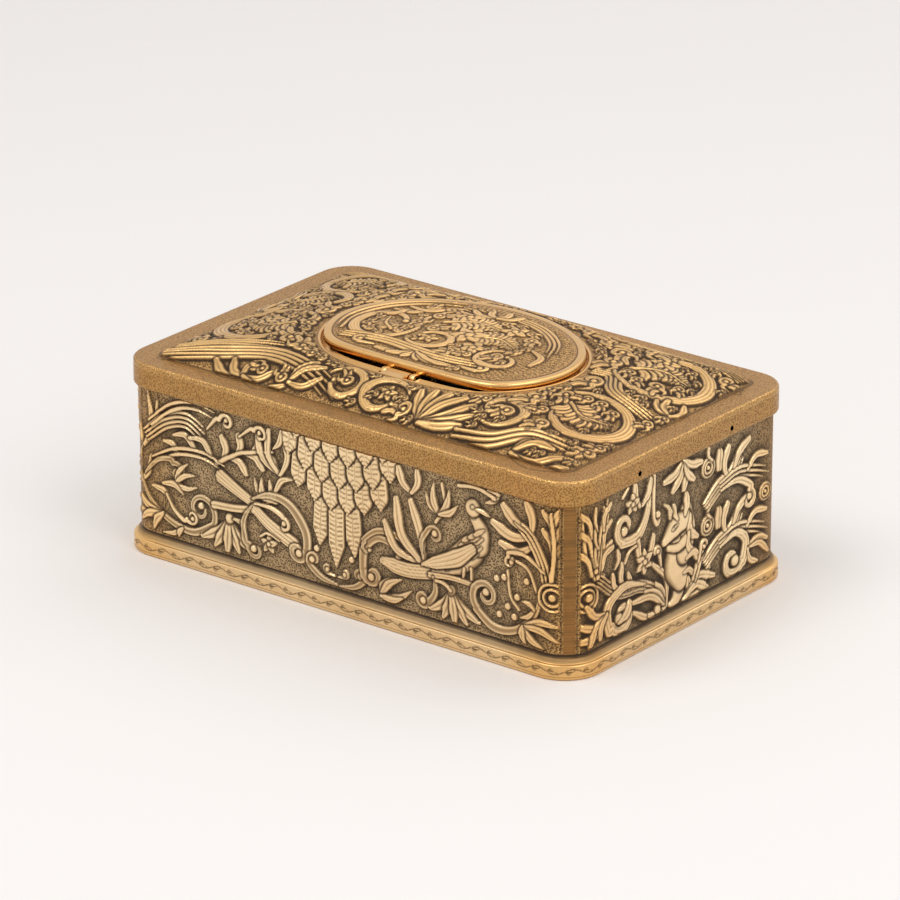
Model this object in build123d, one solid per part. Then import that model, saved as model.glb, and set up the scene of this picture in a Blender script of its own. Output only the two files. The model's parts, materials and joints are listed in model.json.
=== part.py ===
from build123d import *
import math
import os

# Singing bird box: a chased gilt case, an oval lid, a bird that rises through a
# pierced plate, and the spring clockwork, bellows and whistle that work it.
# Millimetres. Origin at the bottom centre, +X along the length, +Y to the front
# with the start slide, -Y to the back with the lid's hinge, +Z up.

# Case
box_length = 102.0
box_depth = 65.25
plinth_corner = 7.3
plinth_height = 4.35
plinth_band = 2.6
plinth_step = 1.4
plinth_wall = 2.6
ledge_width = 3.0
base_recess = 0.6
base_thickness = 1.6
base_gap = 0.1
wall_thickness = 1.4
frame_overhang = 0.92
frame_bottom = 31.5
frame_top = 36.2
frame_plate = 1.5
frame_gap = 0.07
frame_edge_bevel = 0.4
border_width = 5.4
border_inner_corner = 1.6
panel_rise = 4.2
panel_thickness = 1.5

# Oval opening, lid and hinge
lid_half_length = 25.0
lid_half_depth = 19.6
lid_gap = 0.3
lid_thickness = 1.35
lid_proud = 1.0
lid_rim_width = 1.8
dome_rise = 1.15
dish_rise = 1.45
dish_margin = 3.5
rabbet_depth = 0.5
rabbet_width = 1.5
collar_margin = 1.3
chord_y = -14.2
hinge_setback = 1.2
hinge_drop = 0.9
knuckle_radius = 0.95
block_width = 4.8
block_top_drop = 0.05
lug_width = 1.2
side_gap = 0.12
pin_radius = 0.45
fixed_gap = 0.03
running_gap = 0.05

# Pierced plate under the opening
grille_depth = 4.8
grille_thickness = 1.0
grille_overlap = 2.2
well_wall = 1.2
bird_slot = (-10.6, -10.2, 10.2, 12.4)

# Bird
bird_pivot_y = -5.0
bird_pivot_drop = 2.1
bird_offset = 2.5
bird_height = 7.6
bird_body = (4.9, 2.6)
bird_tilt = 18.0
head_radius = 2.0
wing_size = (7.6, 3.6)
tail_length = 4.6
tail_thickness = 0.7
stem_radius = 0.6

# Movement
plate_thickness = 1.2
lower_plate_z = 6.4
plate_gap = 13.8
plate_length = 60.0
plate_end_gap = 2.2
plate_back_gap = 2.825
plate_front_gap = 3.825
plate_corner = 3.0
pillar_radius = 1.6
pillar_inset = 3.4
gear_module = 0.7
wheel_thickness = 1.0
great_teeth = 40
cam_pinion_teeth = 10
cam_wheel_teeth = 40
third_pinion_teeth = 8
third_wheel_teeth = 36
fourth_pinion_teeth = 8
fourth_wheel_teeth = 28
fly_pinion_teeth = 8
tooth_addendum = 0.85
tooth_dedendum = 1.15
tooth_tip = 0.25
tooth_root = 0.55
wheel_rim = 1.5
wheel_hub = 2.6
barrel_inset = 16.0
barrel_y = 6.0
cam_bearing = -25.0
third_bearing = 40.0
fourth_bearing = -70.0
fly_bearing = -120.0
arbor_radius = 0.8
barrel_radius = 13.0
barrel_wall = 1.0
barrel_height = 8.2
barrel_arbor_radius = 1.5
spring_turns = 5
spring_strip = 0.55
winding_square = 2.4
winding_hole_radius = 3.0
ratchet_teeth = 24
ratchet_radius = 6.0
ratchet_depth = 0.8
fly_radius = 5.0
cam_radius = 6.0
cam_lift = 3.4
cam_points = 24
lever_inset = (20.0, 11.0)
start_inset = (4.5, 31.0)

# Bellows and whistle
bellows_end_gap = 17.2
bellows_board = 1.3
bellows_side_gap = 7.825
bellows_top = 29.0
bellows_bottom = 8.0
feeder_gap = 4.2
reservoir_gap = 4.2
leather_gap = 0.3
crank_throw = 1.0
crank_radius = 2.0
rod_width = 1.6
eye_wall = 1.2
whistle_side_gap = 4.225
whistle_z = 26.4
whistle_radius = 2.4
whistle_bore = 1.7
whistle_length = 34.0
whistle_reach = 12.0

# Start slide on the front wall
slide_x = 21.5
slide_z = 26.0
slide_travel = 5.0
slide_button = (4.2, 3.0)
slide_neck = (3.0, 1.6)
slide_proud = 0.9
slide_gap = 0.12

# Sizes that follow from the ones above
wall_length = box_length - 2 * plinth_step
wall_depth = box_depth - 2 * plinth_step
wall_corner = plinth_corner - plinth_step
rebate_length = box_length - 2 * plinth_wall
rebate_depth = box_depth - 2 * plinth_wall
rebate_corner = plinth_corner - plinth_wall
base_top = base_recess + base_thickness
frame_length = wall_length + 2 * frame_overhang
frame_depth = wall_depth + 2 * frame_overhang
frame_corner = wall_corner + frame_overhang
wall_top = frame_top - frame_plate
collar_z = frame_top + panel_rise
lid_top = collar_z + lid_proud
lid_bottom = lid_top - lid_thickness
rabbet_z = collar_z - rabbet_depth
opening_half_length = lid_half_length + lid_gap
opening_half_depth = lid_half_depth + lid_gap
throat_half_length = opening_half_length - rabbet_width
throat_half_depth = opening_half_depth - rabbet_width
hinge_y = chord_y - hinge_setback
hinge_z = collar_z - hinge_drop
grille_top = collar_z - grille_depth
grille_bottom = grille_top - grille_thickness
bird_pivot_z = grille_top - bird_pivot_drop
inner_half_length = wall_length / 2 - wall_thickness
inner_half_depth = wall_depth / 2 - wall_thickness
plate_west = -(inner_half_length - plate_end_gap)
plate_east = plate_west + plate_length
plate_south = -(inner_half_depth - plate_back_gap)
plate_north = inner_half_depth - plate_front_gap
barrel_at = (plate_west + barrel_inset, barrel_y)
bellows_x = inner_half_length - bellows_end_gap
bellows_half_length = inner_half_depth - bellows_side_gap
whistle_y = -(inner_half_depth - whistle_side_gap)
lever_pivot = (plate_west + lever_inset[0], plate_south + lever_inset[1])
whistle_west = lever_pivot[0] + whistle_reach
whistle_east = whistle_west + whistle_length
plate_top = lower_plate_z + plate_thickness
upper_plate_z = plate_top + plate_gap
upper_plate_top = upper_plate_z + plate_thickness

# How many flats stand in for a round: fine pins and screws, arbors, wide rounds
PIN_SIDES = 8
SHAFT_SIDES = 12
WIDE_SIDES = 32
OVAL_SIDES = 48
LOW = (Align.CENTER, Align.CENTER, Align.MIN)


def rounded_block(length, depth, corner, low, high):
    return extrude(Pos(0, 0, low) * RectangleRounded(length, depth, corner), high - low)


def round_points(at, radius, sides):
    step = 2 * math.pi / sides
    turns = [step * (n + 0.5) for n in range(sides)]
    return [(at[0] + radius * math.cos(turn), at[1] + radius * math.sin(turn)) for turn in turns]


def oval_points(half_length, half_depth, sides):
    return [(half_length * x, half_depth * y) for x, y in round_points((0, 0), 1, sides)]


def prism(points, low, high):
    return extrude(Pos(0, 0, low) * make_face(Polyline(*points, close=True)), high - low)


def post(at, radius, low, high, sides=SHAFT_SIDES):
    """A small round piece, with flats inside its circle."""
    return prism(round_points(at, radius, sides), low, high)


def hole(at, radius, low, high, sides=SHAFT_SIDES):
    """A small round hole, with flats outside its circle."""
    return prism(round_points(at, radius / math.cos(math.pi / sides), sides), low, high)


def oval_block(half_length, half_depth, low, high):
    return prism(oval_points(half_length, half_depth, OVAL_SIDES), low, high)


def faceted(rings):
    """A solid skin over rings of points whose sides stay parallel."""
    faces = [make_face(Polyline(*rings[0], close=True)), make_face(Polyline(*rings[-1], close=True))]
    for lower, upper in zip(rings, rings[1:]):
        for n in range(len(lower)):
            after = (n + 1) % len(lower)
            faces.append(make_face(Polyline(lower[n], lower[after], upper[after], upper[n], close=True)))
    return Part() + Solid(Shell([face.face() for face in faces]))


def flat(ring):
    return [(x, y) for x, y, z in ring]


def rounded_ring(length, depth, corner, z, steps=7):
    """Points round a rectangle with rounded corners."""
    points = []
    for sx, sy, start in ((1, 1, 0), (-1, 1, 90), (-1, -1, 180), (1, -1, 270)):
        centre = (sx * (length / 2 - corner), sy * (depth / 2 - corner))
        for step in range(steps + 1):
            x, y = polar(centre, corner, start + 90 * step / steps)
            points.append((x, y, z))
    return points


def box_between(low, high):
    size = [b - a for a, b in zip(low, high)]
    return Pos(*low) * Box(*size, align=(Align.MIN, Align.MIN, Align.MIN))


def bar_along_x(at_y, at_z, radius, west, east, sides=SHAFT_SIDES):
    """A round bar along X with flats."""
    return Pos(west, at_y, at_z) * Rot(0, 90, 0) * prism(round_points((0, 0), radius, sides), 0, east - west)


def bore_along_x(at_y, at_z, radius, west, east, sides=SHAFT_SIDES):
    return bar_along_x(at_y, at_z, radius / math.cos(math.pi / sides), west, east, sides)


def arm(start, end, width, low, high):
    """A flat lever arm with nosed ends, between two points seen from above."""
    bearing = math.degrees(math.atan2(end[1] - start[1], end[0] - start[0]))
    points = []
    for at, turns in ((start, (90, 135, 180, 225, 270)), (end, (-90, -45, 0, 45, 90))):
        points += [polar(at, width / 2, bearing + turn) for turn in turns]
    return prism(points, low, high)


def polar(at, distance, bearing):
    turn = math.radians(bearing)
    return (at[0] + distance * math.cos(turn), at[1] + distance * math.sin(turn))


def write(name, shape):
    export_step(shape, f"parts/{name}.step")


os.makedirs("parts", exist_ok=True)


# Plinth: a moulded ring with a hollow step up to the wall, and a ledge for the base
def plinth():
    profile = [
        (0.0, 0.4),
        (0.7, 0.0),
        (plinth_band, 0.0),
        (plinth_band + 0.7, plinth_step * 0.7),
        (plinth_height, plinth_step),
    ]
    body = faceted(
        [rounded_ring(box_length - 2 * d, box_depth - 2 * d, plinth_corner - d, z) for z, d in profile]
    )
    body -= rounded_block(rebate_length, rebate_depth, rebate_corner, -1, base_top)
    body -= rounded_block(
        rebate_length - 2 * ledge_width,
        rebate_depth - 2 * ledge_width,
        max(rebate_corner - ledge_width, 0.5),
        0,
        plinth_height + 1,
    )
    for at in base_screw_places():
        body -= hole(at, base_screw_radius + fixed_gap, base_top - 1, plinth_height - 0.4, PIN_SIDES)
    return body


base_screw_radius = 0.7
base_screw_head = 1.3
screw_head_height = 0.45


def base_screw_places():
    x = rebate_length / 2 - ledge_width / 2
    y = rebate_depth / 2 - rebate_corner - 6
    return [(sx * x, sy * y) for sx in (-1, 1) for sy in (-1, 1)]


def pillar_places():
    west, east = plate_west + pillar_inset, plate_east - pillar_inset
    south, north = plate_south + pillar_inset, plate_north - pillar_inset
    return [(x, y) for x in (west, east) for y in (south, north)]


def base_plate():
    body = rounded_block(
        rebate_length - 2 * base_gap,
        rebate_depth - 2 * base_gap,
        rebate_corner - base_gap,
        base_recess,
        base_top,
    )
    body -= Pos(*barrel_at, 0) * Cylinder(winding_hole_radius, base_top + 1, align=LOW)
    for at in base_screw_places() + pillar_places():
        body -= hole(at, base_screw_radius + fixed_gap, 0, base_top + 1, PIN_SIDES)
    return body


def screw(at, top):
    """A cheese-head screw that goes in from below, its head in the plinth's recess."""
    head = post(at, base_screw_head, base_recess - screw_head_height, base_recess, PIN_SIDES)
    return head + post(at, base_screw_radius, base_recess, top, PIN_SIDES)


def case_shell():
    body = rounded_block(wall_length, wall_depth, wall_corner, plinth_height, wall_top)
    body -= rounded_block(
        wall_length - 2 * wall_thickness,
        wall_depth - 2 * wall_thickness,
        wall_corner - wall_thickness,
        plinth_height - 1,
        wall_top + 1,
    )
    slot_length = slide_neck[0] + slide_travel + 2 * slide_gap
    slot_height = slide_neck[1] + 2 * slide_gap
    slot_middle = slide_x + slide_travel / 2
    body -= Pos(slot_middle, wall_depth / 2, slide_z) * Box(slot_length, 4, slot_height)
    for pin in frame_pin_holes(fixed_gap):
        body -= pin
    return body


frame_pin_radius = 0.5
frame_pin_y = 13.4
frame_pin_z = 33.0


def frame_pin_holes(extra):
    reach = frame_overhang + wall_thickness
    x = frame_length / 2
    radius = frame_pin_radius + extra
    west = bar_along_x(0, frame_pin_z, radius, -x - extra, -x + reach + extra, PIN_SIDES)
    east = bar_along_x(0, frame_pin_z, radius, x - reach - extra, x + extra, PIN_SIDES)
    return [Pos(0, y, 0) * pin for y in (-frame_pin_y, frame_pin_y) for pin in (west, east)]


def panel_rings(inset, drop, shares):
    """Rounded rectangles from the flat border up to the collar of the opening."""
    outer = (frame_length / 2 - border_width, frame_depth / 2 - border_width, border_inner_corner)
    collar_length = opening_half_length + collar_margin
    collar_depth = opening_half_depth + collar_margin
    collar = (collar_length, collar_depth, collar_depth - 0.2)
    rings = []
    for share in shares:
        length, depth, corner = [a + (b - a) * share for a, b in zip(outer, collar)]
        z = frame_top + panel_rise * (1 - (1 - share) ** 1.6) - drop
        corner = max(corner - inset, 0.4)
        rings.append(rounded_ring(2 * (length - inset), 2 * (depth - inset), corner, z))
    return rings


def top_frame():
    body = rounded_block(frame_length, frame_depth, frame_corner, frame_bottom, frame_top)
    rims = body.faces().sort_by(Axis.Z)[0].edges() + body.faces().sort_by(Axis.Z)[-1].edges()
    body = chamfer(rims, frame_edge_bevel)
    body += faceted(panel_rings(0, 0, (0.0, 0.2, 0.45, 0.7, 1.0)))
    body -= rounded_block(
        wall_length + 2 * frame_gap,
        wall_depth + 2 * frame_gap,
        wall_corner + frame_gap,
        frame_bottom - 1,
        wall_top,
    )
    body -= faceted(panel_rings(panel_thickness, panel_thickness, (0.0, 0.35, 1.0)))
    body -= oval_block(opening_half_length, opening_half_depth, rabbet_z, collar_z + 1)
    body -= oval_block(throat_half_length, throat_half_depth, wall_top - 1, collar_z + 1)
    for pin in frame_pin_holes(fixed_gap):
        body -= pin
    return body


def hinge_axis_bar(radius, west, east):
    return bar_along_x(hinge_y, hinge_z, radius, west, east)


def hinge_axis_bore(radius, west, east):
    return bore_along_x(hinge_y, hinge_z, radius, west, east)


def hinge_block():
    half = block_width / 2
    top = collar_z - block_top_drop
    seat_y = -(throat_half_depth - fixed_gap - 0.1)
    tail_y = -(opening_half_depth * math.sqrt(1 - (half / opening_half_length) ** 2) - 0.1)
    low = hinge_z - knuckle_radius
    body = box_between((-half, seat_y, low), (half, hinge_y, top))
    body += box_between((-half, tail_y, rabbet_z), (half, seat_y, top))
    body += hinge_axis_bar(knuckle_radius, -half, half)
    return body - hinge_axis_bore(pin_radius + fixed_gap, -half - 1, half + 1)


lug_inner = block_width / 2 + side_gap
lug_outer = lug_inner + lug_width


def hinge_pin():
    return hinge_axis_bar(pin_radius, -lug_outer, lug_outer)


def oval_dome(half_length, half_depth, low, rise, levels, shift=0.0):
    """A shallow dome of facets: ovals that shrink as they climb."""
    rings = []
    for height, share in levels:
        points = oval_points(half_length * share, half_depth * share, OVAL_SIDES)
        rings.append([(x, y + shift, low + rise * height) for x, y in points])
    return faceted(rings)


def behind(y):
    """The space behind the lid's straight edge."""
    return box_between((-lid_half_length, -2 * lid_half_depth, rabbet_z), (lid_half_length, y, lid_top + 2 * dome_rise))


def bird_lid():
    bevel = (lid_half_length - 0.3) / lid_half_length
    body = oval_dome(lid_half_length, lid_half_depth, lid_bottom, lid_thickness, ((0, 1), (0.78, 1), (1, bevel)))
    dome_length, dome_depth = lid_half_length - lid_rim_width, lid_half_depth - lid_rim_width
    levels = ((0.0, 1.0), (0.55, 0.8), (1.0, 0.4))
    dome = oval_dome(dome_length, dome_depth, lid_top, dome_rise, levels)
    body += dome - behind(chord_y + lid_rim_width)
    body -= behind(chord_y)
    dish_y = (chord_y + dish_margin + lid_half_depth - dish_margin) / 2
    dish_length, dish_depth = lid_half_length - dish_margin, lid_half_depth - dish_margin - dish_y
    body -= oval_dome(dish_length, dish_depth, lid_bottom, dish_rise, ((0.0, 1.0), (1.0, 0.6)), dish_y)
    for side in (-1, 1):
        inner, outer = sorted((side * lug_inner, side * lug_outer))
        lug = hinge_axis_bar(knuckle_radius, inner, outer)
        low = (inner, hinge_y, hinge_z - 0.7)
        lug += box_between(low, (outer, chord_y + 1.7, hinge_z + 0.75))
        body += lug
    return body - hinge_axis_bore(pin_radius + running_gap, -lug_outer - 1, lug_outer + 1)


def hidden_oval(extra, low, high):
    """An oval under the panel, as wide as the throat and a little more."""
    return prism(oval_points(throat_half_length + extra, throat_half_depth + extra, WIDE_SIDES), low, high)


def well_ring():
    body = hidden_oval(well_wall, grille_top, collar_z - panel_thickness)
    return body - hidden_oval(0, grille_top - 1, collar_z)


def grille_plate():
    body = hidden_oval(grille_overlap, grille_bottom, grille_top)
    west, south, east, north = bird_slot
    middle = Pos((west + east) / 2, (south + north) / 2, 0)
    body -= middle * rounded_block(east - west, north - south, 2.0, grille_bottom - 1, grille_top + 1)
    for side in (-1, 1):
        for column in range(3):
            reach = 12.9 + 3.3 * column
            half = 9.2 - 2.2 * column
            rows = 5 - column
            for row in range(rows):
                y = -half + 2 * half * row / (rows - 1)
                lean = side * (20 + 14 * column) * (1 if y > 0.1 else -1 if y < -0.1 else 0)
                leaf = Pos(side * reach, y, grille_bottom - 1) * Rot(0, 0, -lean) * leaf_outline(3.4, 1.5)
                body -= extrude(leaf, grille_thickness + 2)
    return body


def leaf_outline(length, width):
    """A pointed leaf along Y."""
    half, side = length / 2, width / 2
    points = [(0, -half), (side, -half * 0.2), (side * 0.8, half * 0.4), (0, half)]
    points += [(-side * 0.8, half * 0.4), (-side, -half * 0.2)]
    return make_face(Polyline(*points, close=True))


bracket_foot = 1.5
bracket_half_depth = 3.0


def bracket_foot_centres():
    return (bird_slot[0] - 1.0 - bracket_foot / 2, bird_slot[2] + 1.0 + bracket_foot / 2)


def bird_bracket():
    """A cradle hung below the pierced plate, with two ears for the bird's pivot."""
    centres = bracket_foot_centres()
    west, east = centres[0] - bracket_foot / 2, centres[1] + bracket_foot / 2
    south, north = bird_pivot_y - bracket_half_depth, bird_pivot_y + bracket_half_depth
    bar_top = bird_pivot_z - 1.9
    bar_low = bar_top - 1.0
    body = box_between((west, south, bar_low), (east, north, bar_top))
    for centre in centres:
        inner, outer = centre - bracket_foot / 2, centre + bracket_foot / 2
        body += box_between((inner, south, bar_low), (outer, north, grille_bottom))
    for side in (-1, 1):
        inner, outer = sorted((side * ear_inner, side * ear_outer))
        body += box_between((inner, bird_pivot_y - 1.1, bar_low), (outer, bird_pivot_y + 1.1, bird_pivot_z))
        body += bar_along_x(bird_pivot_y, bird_pivot_z, 1.1, inner, outer)
    body -= bore_along_x(bird_pivot_y, bird_pivot_z, bird_pin_radius + fixed_gap, -ear_outer - 1, ear_outer + 1)
    return body


bird_pin_radius = 0.5
ear_inner = 2.6
ear_width = 1.1
ear_outer = ear_inner + ear_width


def carriage_pin():
    return bar_along_x(bird_pivot_y, bird_pivot_z, bird_pin_radius, -ear_outer, ear_outer)


# The bird is drawn standing, then laid on its side about its pivot, as it rests
upright_y = bird_pivot_y - bird_offset


def laid(shape):
    return Pos(0, bird_pivot_y, bird_pivot_z) * Rot(-90, 0, 0) * Pos(0, -bird_pivot_y, -bird_pivot_z) * shape


socket_low = 0.6
socket_high = 3.4


def bird_carriage():
    hub = bar_along_x(bird_pivot_y, bird_pivot_z, 1.1, -ear_inner + side_gap, ear_inner - side_gap)
    web = box_between(
        (-0.8, upright_y + 1.0, bird_pivot_z + 0.1), (0.8, bird_pivot_y - 0.4, bird_pivot_z + 0.9)
    )
    web += box_between((-0.8, upright_y + 0.9, bird_pivot_z - 0.8), (0.8, bird_pivot_y - 0.4, bird_pivot_z + 0.5))
    socket = post((0, upright_y), 1.3, bird_pivot_z + socket_low, bird_pivot_z + socket_high)
    web += box_between(
        (-0.8, upright_y, bird_pivot_z - 0.8), (0.8, upright_y + 1.6, bird_pivot_z + socket_low + 0.6)
    )
    body = hub + web + socket
    body -= bore_along_x(bird_pivot_y, bird_pivot_z, bird_pin_radius + running_gap, -ear_outer, ear_outer)
    body -= hole((0, upright_y), stem_radius + running_gap, bird_pivot_z - 2, bird_pivot_z + 9)
    return laid(body)


def bird_stem():
    low = bird_pivot_z + socket_low - 0.9
    high = bird_pivot_z + bird_height - 1.2
    body = post((0, upright_y), stem_radius, low, high)
    body += post((0, upright_y), 1.2, bird_pivot_z + socket_high + 0.1, bird_pivot_z + socket_high + 0.6)
    return laid(body)


bird_centre = Pos(0, upright_y, bird_pivot_z + bird_height)
bird_pose = bird_centre * Rot(0, -bird_tilt, 0)
head_at = (bird_body[0] * 0.78, 0, bird_body[1] * 0.75)


def turned_along(profile, sides=12):
    """A faceted round body along X, from (x, radius) stations."""
    return faceted([[(x, y, z) for y, z in round_points((0, 0), radius, sides)] for x, radius in profile])


def bird_body_solid():
    """A pear-shaped body, a round head and the upper half of the beak."""
    length, half_width = bird_body
    stations = ((-1, 0.12), (-0.8, 0.45), (-0.45, 0.88), (-0.05, 1.0), (0.4, 0.93), (0.75, 0.62), (0.95, 0.2))
    body = turned_along([(length * x, half_width * share) for x, share in stations])
    ball = [(math.sin(math.radians(a)), math.cos(math.radians(a))) for a in (-75, -45, -15, 15, 45, 75)]
    body += Pos(*head_at) * turned_along([(head_radius * x, head_radius * share) for x, share in ball])
    beak = turned_along([(0, 0.8), (2.9, 0.15)], 8)
    body += Pos(head_at[0] + 1.4, 0, head_at[2] + 0.15) * Rot(0, bird_tilt, 0) * beak
    body -= Pos(head_at[0] + 1.5, -3, head_at[2] - 3) * Box(4, 6, 2.85, align=(Align.MIN,) * 3)
    stem_hole = hole((0, upright_y), stem_radius + fixed_gap, bird_pivot_z, bird_pivot_z + bird_height - 1.1)
    return laid(bird_pose * body - stem_hole)


beak_hinge = (head_at[0] + 1.75, head_at[2] - 0.55)


def bird_beak():
    jaw = Pos(beak_hinge[0], 0, beak_hinge[1]) * Rot(0, bird_tilt, 0) * turned_along([(0, 0.5), (1.9, 0.12)], 8)
    return laid(bird_pose * jaw)


tail_hinge = (-bird_body[0] - 0.15, 0.2)


def bird_tail():
    outline = [(0, -0.8), (-tail_length * 0.4, -0.75), (-tail_length, -1.5)]
    outline += [(-tail_length, 1.5), (-tail_length * 0.4, 0.75), (0, 0.8)]
    feathers = prism(outline, 0, tail_thickness)
    feathers = Pos(tail_hinge[0], 0, tail_hinge[1] - tail_thickness / 2) * Rot(0, 12, 0) * feathers
    return laid(bird_pose * feathers)


wing_thickness = 0.7
wing_out = bird_body[1] * 1.12 + 0.12
wing_front = 2.6


def bird_wing(side):
    """A folded wing: round at the shoulder, pointed over the tail."""
    length, depth = wing_size
    outline = Polyline(
        (-length, -0.9),
        (-length * 0.6, depth * 0.35),
        (-length * 0.25, depth * 0.52),
        (0, 0.2),
        (-0.1, -depth * 0.5),
        (-length * 0.35, -depth * 0.62),
        close=True,
    )
    low = wing_out if side > 0 else -wing_out - wing_thickness
    blade = extrude(Rot(90, 0, 0) * make_face(outline), wing_thickness)
    blade = Pos(wing_front, low + wing_thickness, 0.5) * blade
    return laid(bird_pose * blade)


# Gearing
def wheel_outline(teeth):
    pitch_radius = gear_module * teeth / 2
    pitch = math.pi * gear_module
    points = []
    for tooth in range(teeth):
        middle = 2 * math.pi * tooth / teeth
        root = pitch_radius - tooth_dedendum * gear_module
        tip = pitch_radius + tooth_addendum * gear_module
        for radius, share, side in (
            (root, tooth_root, -1),
            (tip, tooth_tip, -1),
            (tip, tooth_tip, 1),
            (root, tooth_root, 1),
        ):
            turn = middle + side * share * pitch / 2 / radius
            points.append((radius * math.cos(turn), radius * math.sin(turn)))
    return make_face(Polyline(*points, close=True))


def leaves(teeth, at, low, high, turn):
    """A pinion cut in one with its arbor."""
    return extrude(Pos(at[0], at[1], low) * Rot(0, 0, turn) * wheel_outline(teeth), high - low)


def gear(teeth, at, low, high, bore, turn=0.0):
    return leaves(teeth, at, low, high, turn) - hole(at, bore, low - 1, high + 1)


def crossed_out(teeth, at, low, high, hub_radius, rim_width, spokes):
    """The four-sided windows between a wheel's arms."""
    outer = gear_module * teeth / 2 - tooth_dedendum * gear_module - rim_width
    step = 360 / spokes
    windows = Part()
    for spoke in range(spokes):
        middle = step * (spoke + 0.5)
        corners = [polar((0, 0), outer, middle - step * 0.36), polar((0, 0), outer, middle + step * 0.36)]
        corners += [polar((0, 0), hub_radius, middle + step * 0.2), polar((0, 0), hub_radius, middle - step * 0.2)]
        window = make_face(Polyline(*corners, close=True))
        windows += extrude(Pos(at[0], at[1], low - 1) * window, high - low + 2)
    return windows


def mesh_turn(bearing, driven_teeth, driver_turn, driver_teeth):
    """Turns a driven wheel so that one of its gaps faces the driver's tooth."""
    driver_phase = (bearing - driver_turn) / (360 / driver_teeth)
    offset = driver_phase - round(driver_phase)
    return bearing + 180 + 180 / driven_teeth + offset * 360 / driven_teeth


def centres(teeth_a, teeth_b):
    return gear_module * (teeth_a + teeth_b) / 2


cam_at = polar(barrel_at, centres(great_teeth, cam_pinion_teeth), cam_bearing)
third_at = polar(cam_at, centres(cam_wheel_teeth, third_pinion_teeth), third_bearing)
fourth_at = polar(third_at, centres(third_wheel_teeth, fourth_pinion_teeth), fourth_bearing)
fly_at = polar(fourth_at, centres(fourth_wheel_teeth, fly_pinion_teeth), fly_bearing)
cam_turn = mesh_turn(cam_bearing, cam_pinion_teeth, 0, great_teeth)
third_turn = mesh_turn(third_bearing, third_pinion_teeth, 0, cam_wheel_teeth)
fourth_turn = mesh_turn(fourth_bearing, fourth_pinion_teeth, 0, third_wheel_teeth)
fly_turn = mesh_turn(fly_bearing, fly_pinion_teeth, 0, fourth_wheel_teeth)

great_wheel_z = plate_top + 0.8
barrel_z = great_wheel_z + wheel_thickness
barrel_top = barrel_z + barrel_height
cover_top = barrel_top + 0.6
cam_wheel_z = cover_top + 0.8
third_wheel_z = plate_top + 2.6
crank_z = third_wheel_z + wheel_thickness + 1.2
fourth_wheel_z = crank_z + wheel_thickness + 1.6


def movement_plate(low, high, holes):
    middle_x, middle_y = (plate_west + plate_east) / 2, (plate_south + plate_north) / 2
    outline = Rectangle(plate_east - plate_west, plate_north - plate_south)
    outline = chamfer(outline.vertices(), plate_corner)
    body = extrude(Pos(middle_x, middle_y, low) * outline, high - low)
    for at, radius, sides in holes:
        body -= hole(at, radius, low - 1, high + 1, sides)
    return body


def plate_holes():
    arbors = [(at, arbor_radius + running_gap, SHAFT_SIDES) for at in (cam_at, third_at, fourth_at, fly_at)]
    return arbors + [(barrel_at, barrel_arbor_radius + running_gap, SHAFT_SIDES)]


def lower_plate():
    body = movement_plate(lower_plate_z, plate_top, plate_holes())
    for at in pillar_places():
        body += post(at, pillar_radius + 0.8, base_top, lower_plate_z, PIN_SIDES)
        body -= hole(at, base_screw_radius + fixed_gap, base_top - 1, plate_top - 0.3, PIN_SIDES)
    return body


def upper_plate():
    holes = [(at, pillar_stud + fixed_gap, PIN_SIDES) for at in pillar_places()]
    return movement_plate(upper_plate_z, upper_plate_top, plate_holes() + holes)


pillar_stud = 0.9


def pillars():
    """Shouldered pillars, riveted into the upper plate."""
    turned = []
    for at in pillar_places():
        body = post(at, pillar_radius, plate_top, upper_plate_z, PIN_SIDES)
        turned.append(body + post(at, pillar_stud, upper_plate_z, upper_plate_top, PIN_SIDES))
    return Compound(children=turned)


def great_wheel():
    return gear(great_teeth, barrel_at, great_wheel_z, barrel_z, barrel_arbor_radius + running_gap)


def spring_barrel():
    drum = post(barrel_at, barrel_radius, barrel_z, barrel_top, WIDE_SIDES)
    return drum - hole(barrel_at, barrel_radius - barrel_wall, barrel_z - 1, barrel_top + 1, WIDE_SIDES)


def barrel_cover():
    cover = post(barrel_at, barrel_radius, barrel_top, cover_top, WIDE_SIDES)
    return cover - hole(barrel_at, barrel_arbor_radius + running_gap, barrel_top - 1, cover_top + 1)


arbor_hub_radius = 3.0


def mainspring():
    """A flat spiral strip between the arbor's hub and the barrel's wall."""
    inner = arbor_hub_radius + 0.4
    outer = barrel_radius - barrel_wall - 0.3 - spring_strip
    steps = spring_turns * 8
    rows = []
    for extra in (0, spring_strip):
        row = []
        for step in range(steps + 1):
            turn = 2 * math.pi * spring_turns * step / steps
            radius = inner + (outer - inner) * step / steps + extra
            row.append((barrel_at[0] + radius * math.cos(turn), barrel_at[1] + radius * math.sin(turn)))
        rows.append(row)
    outline = make_face(Polyline(*rows[0], *reversed(rows[1]), close=True))
    return Pos(0, 0, barrel_z + 0.4) * extrude(outline, barrel_height - 0.8)


ratchet_z = upper_plate_top + 0.3
ratchet_seat = 1.2


def barrel_arbor():
    square_low = base_top + 0.4
    body = post(barrel_at, barrel_arbor_radius, lower_plate_z - 0.3, upper_plate_top + 0.2)
    body += post(barrel_at, arbor_hub_radius, barrel_z + 0.2, barrel_top - 0.2)
    body += box_between(
        (barrel_at[0] - winding_square / 2, barrel_at[1] - winding_square / 2, square_low),
        (barrel_at[0] + winding_square / 2, barrel_at[1] + winding_square / 2, lower_plate_z),
    )
    return body + post(barrel_at, ratchet_seat, upper_plate_top, ratchet_z + 1.2)


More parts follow.
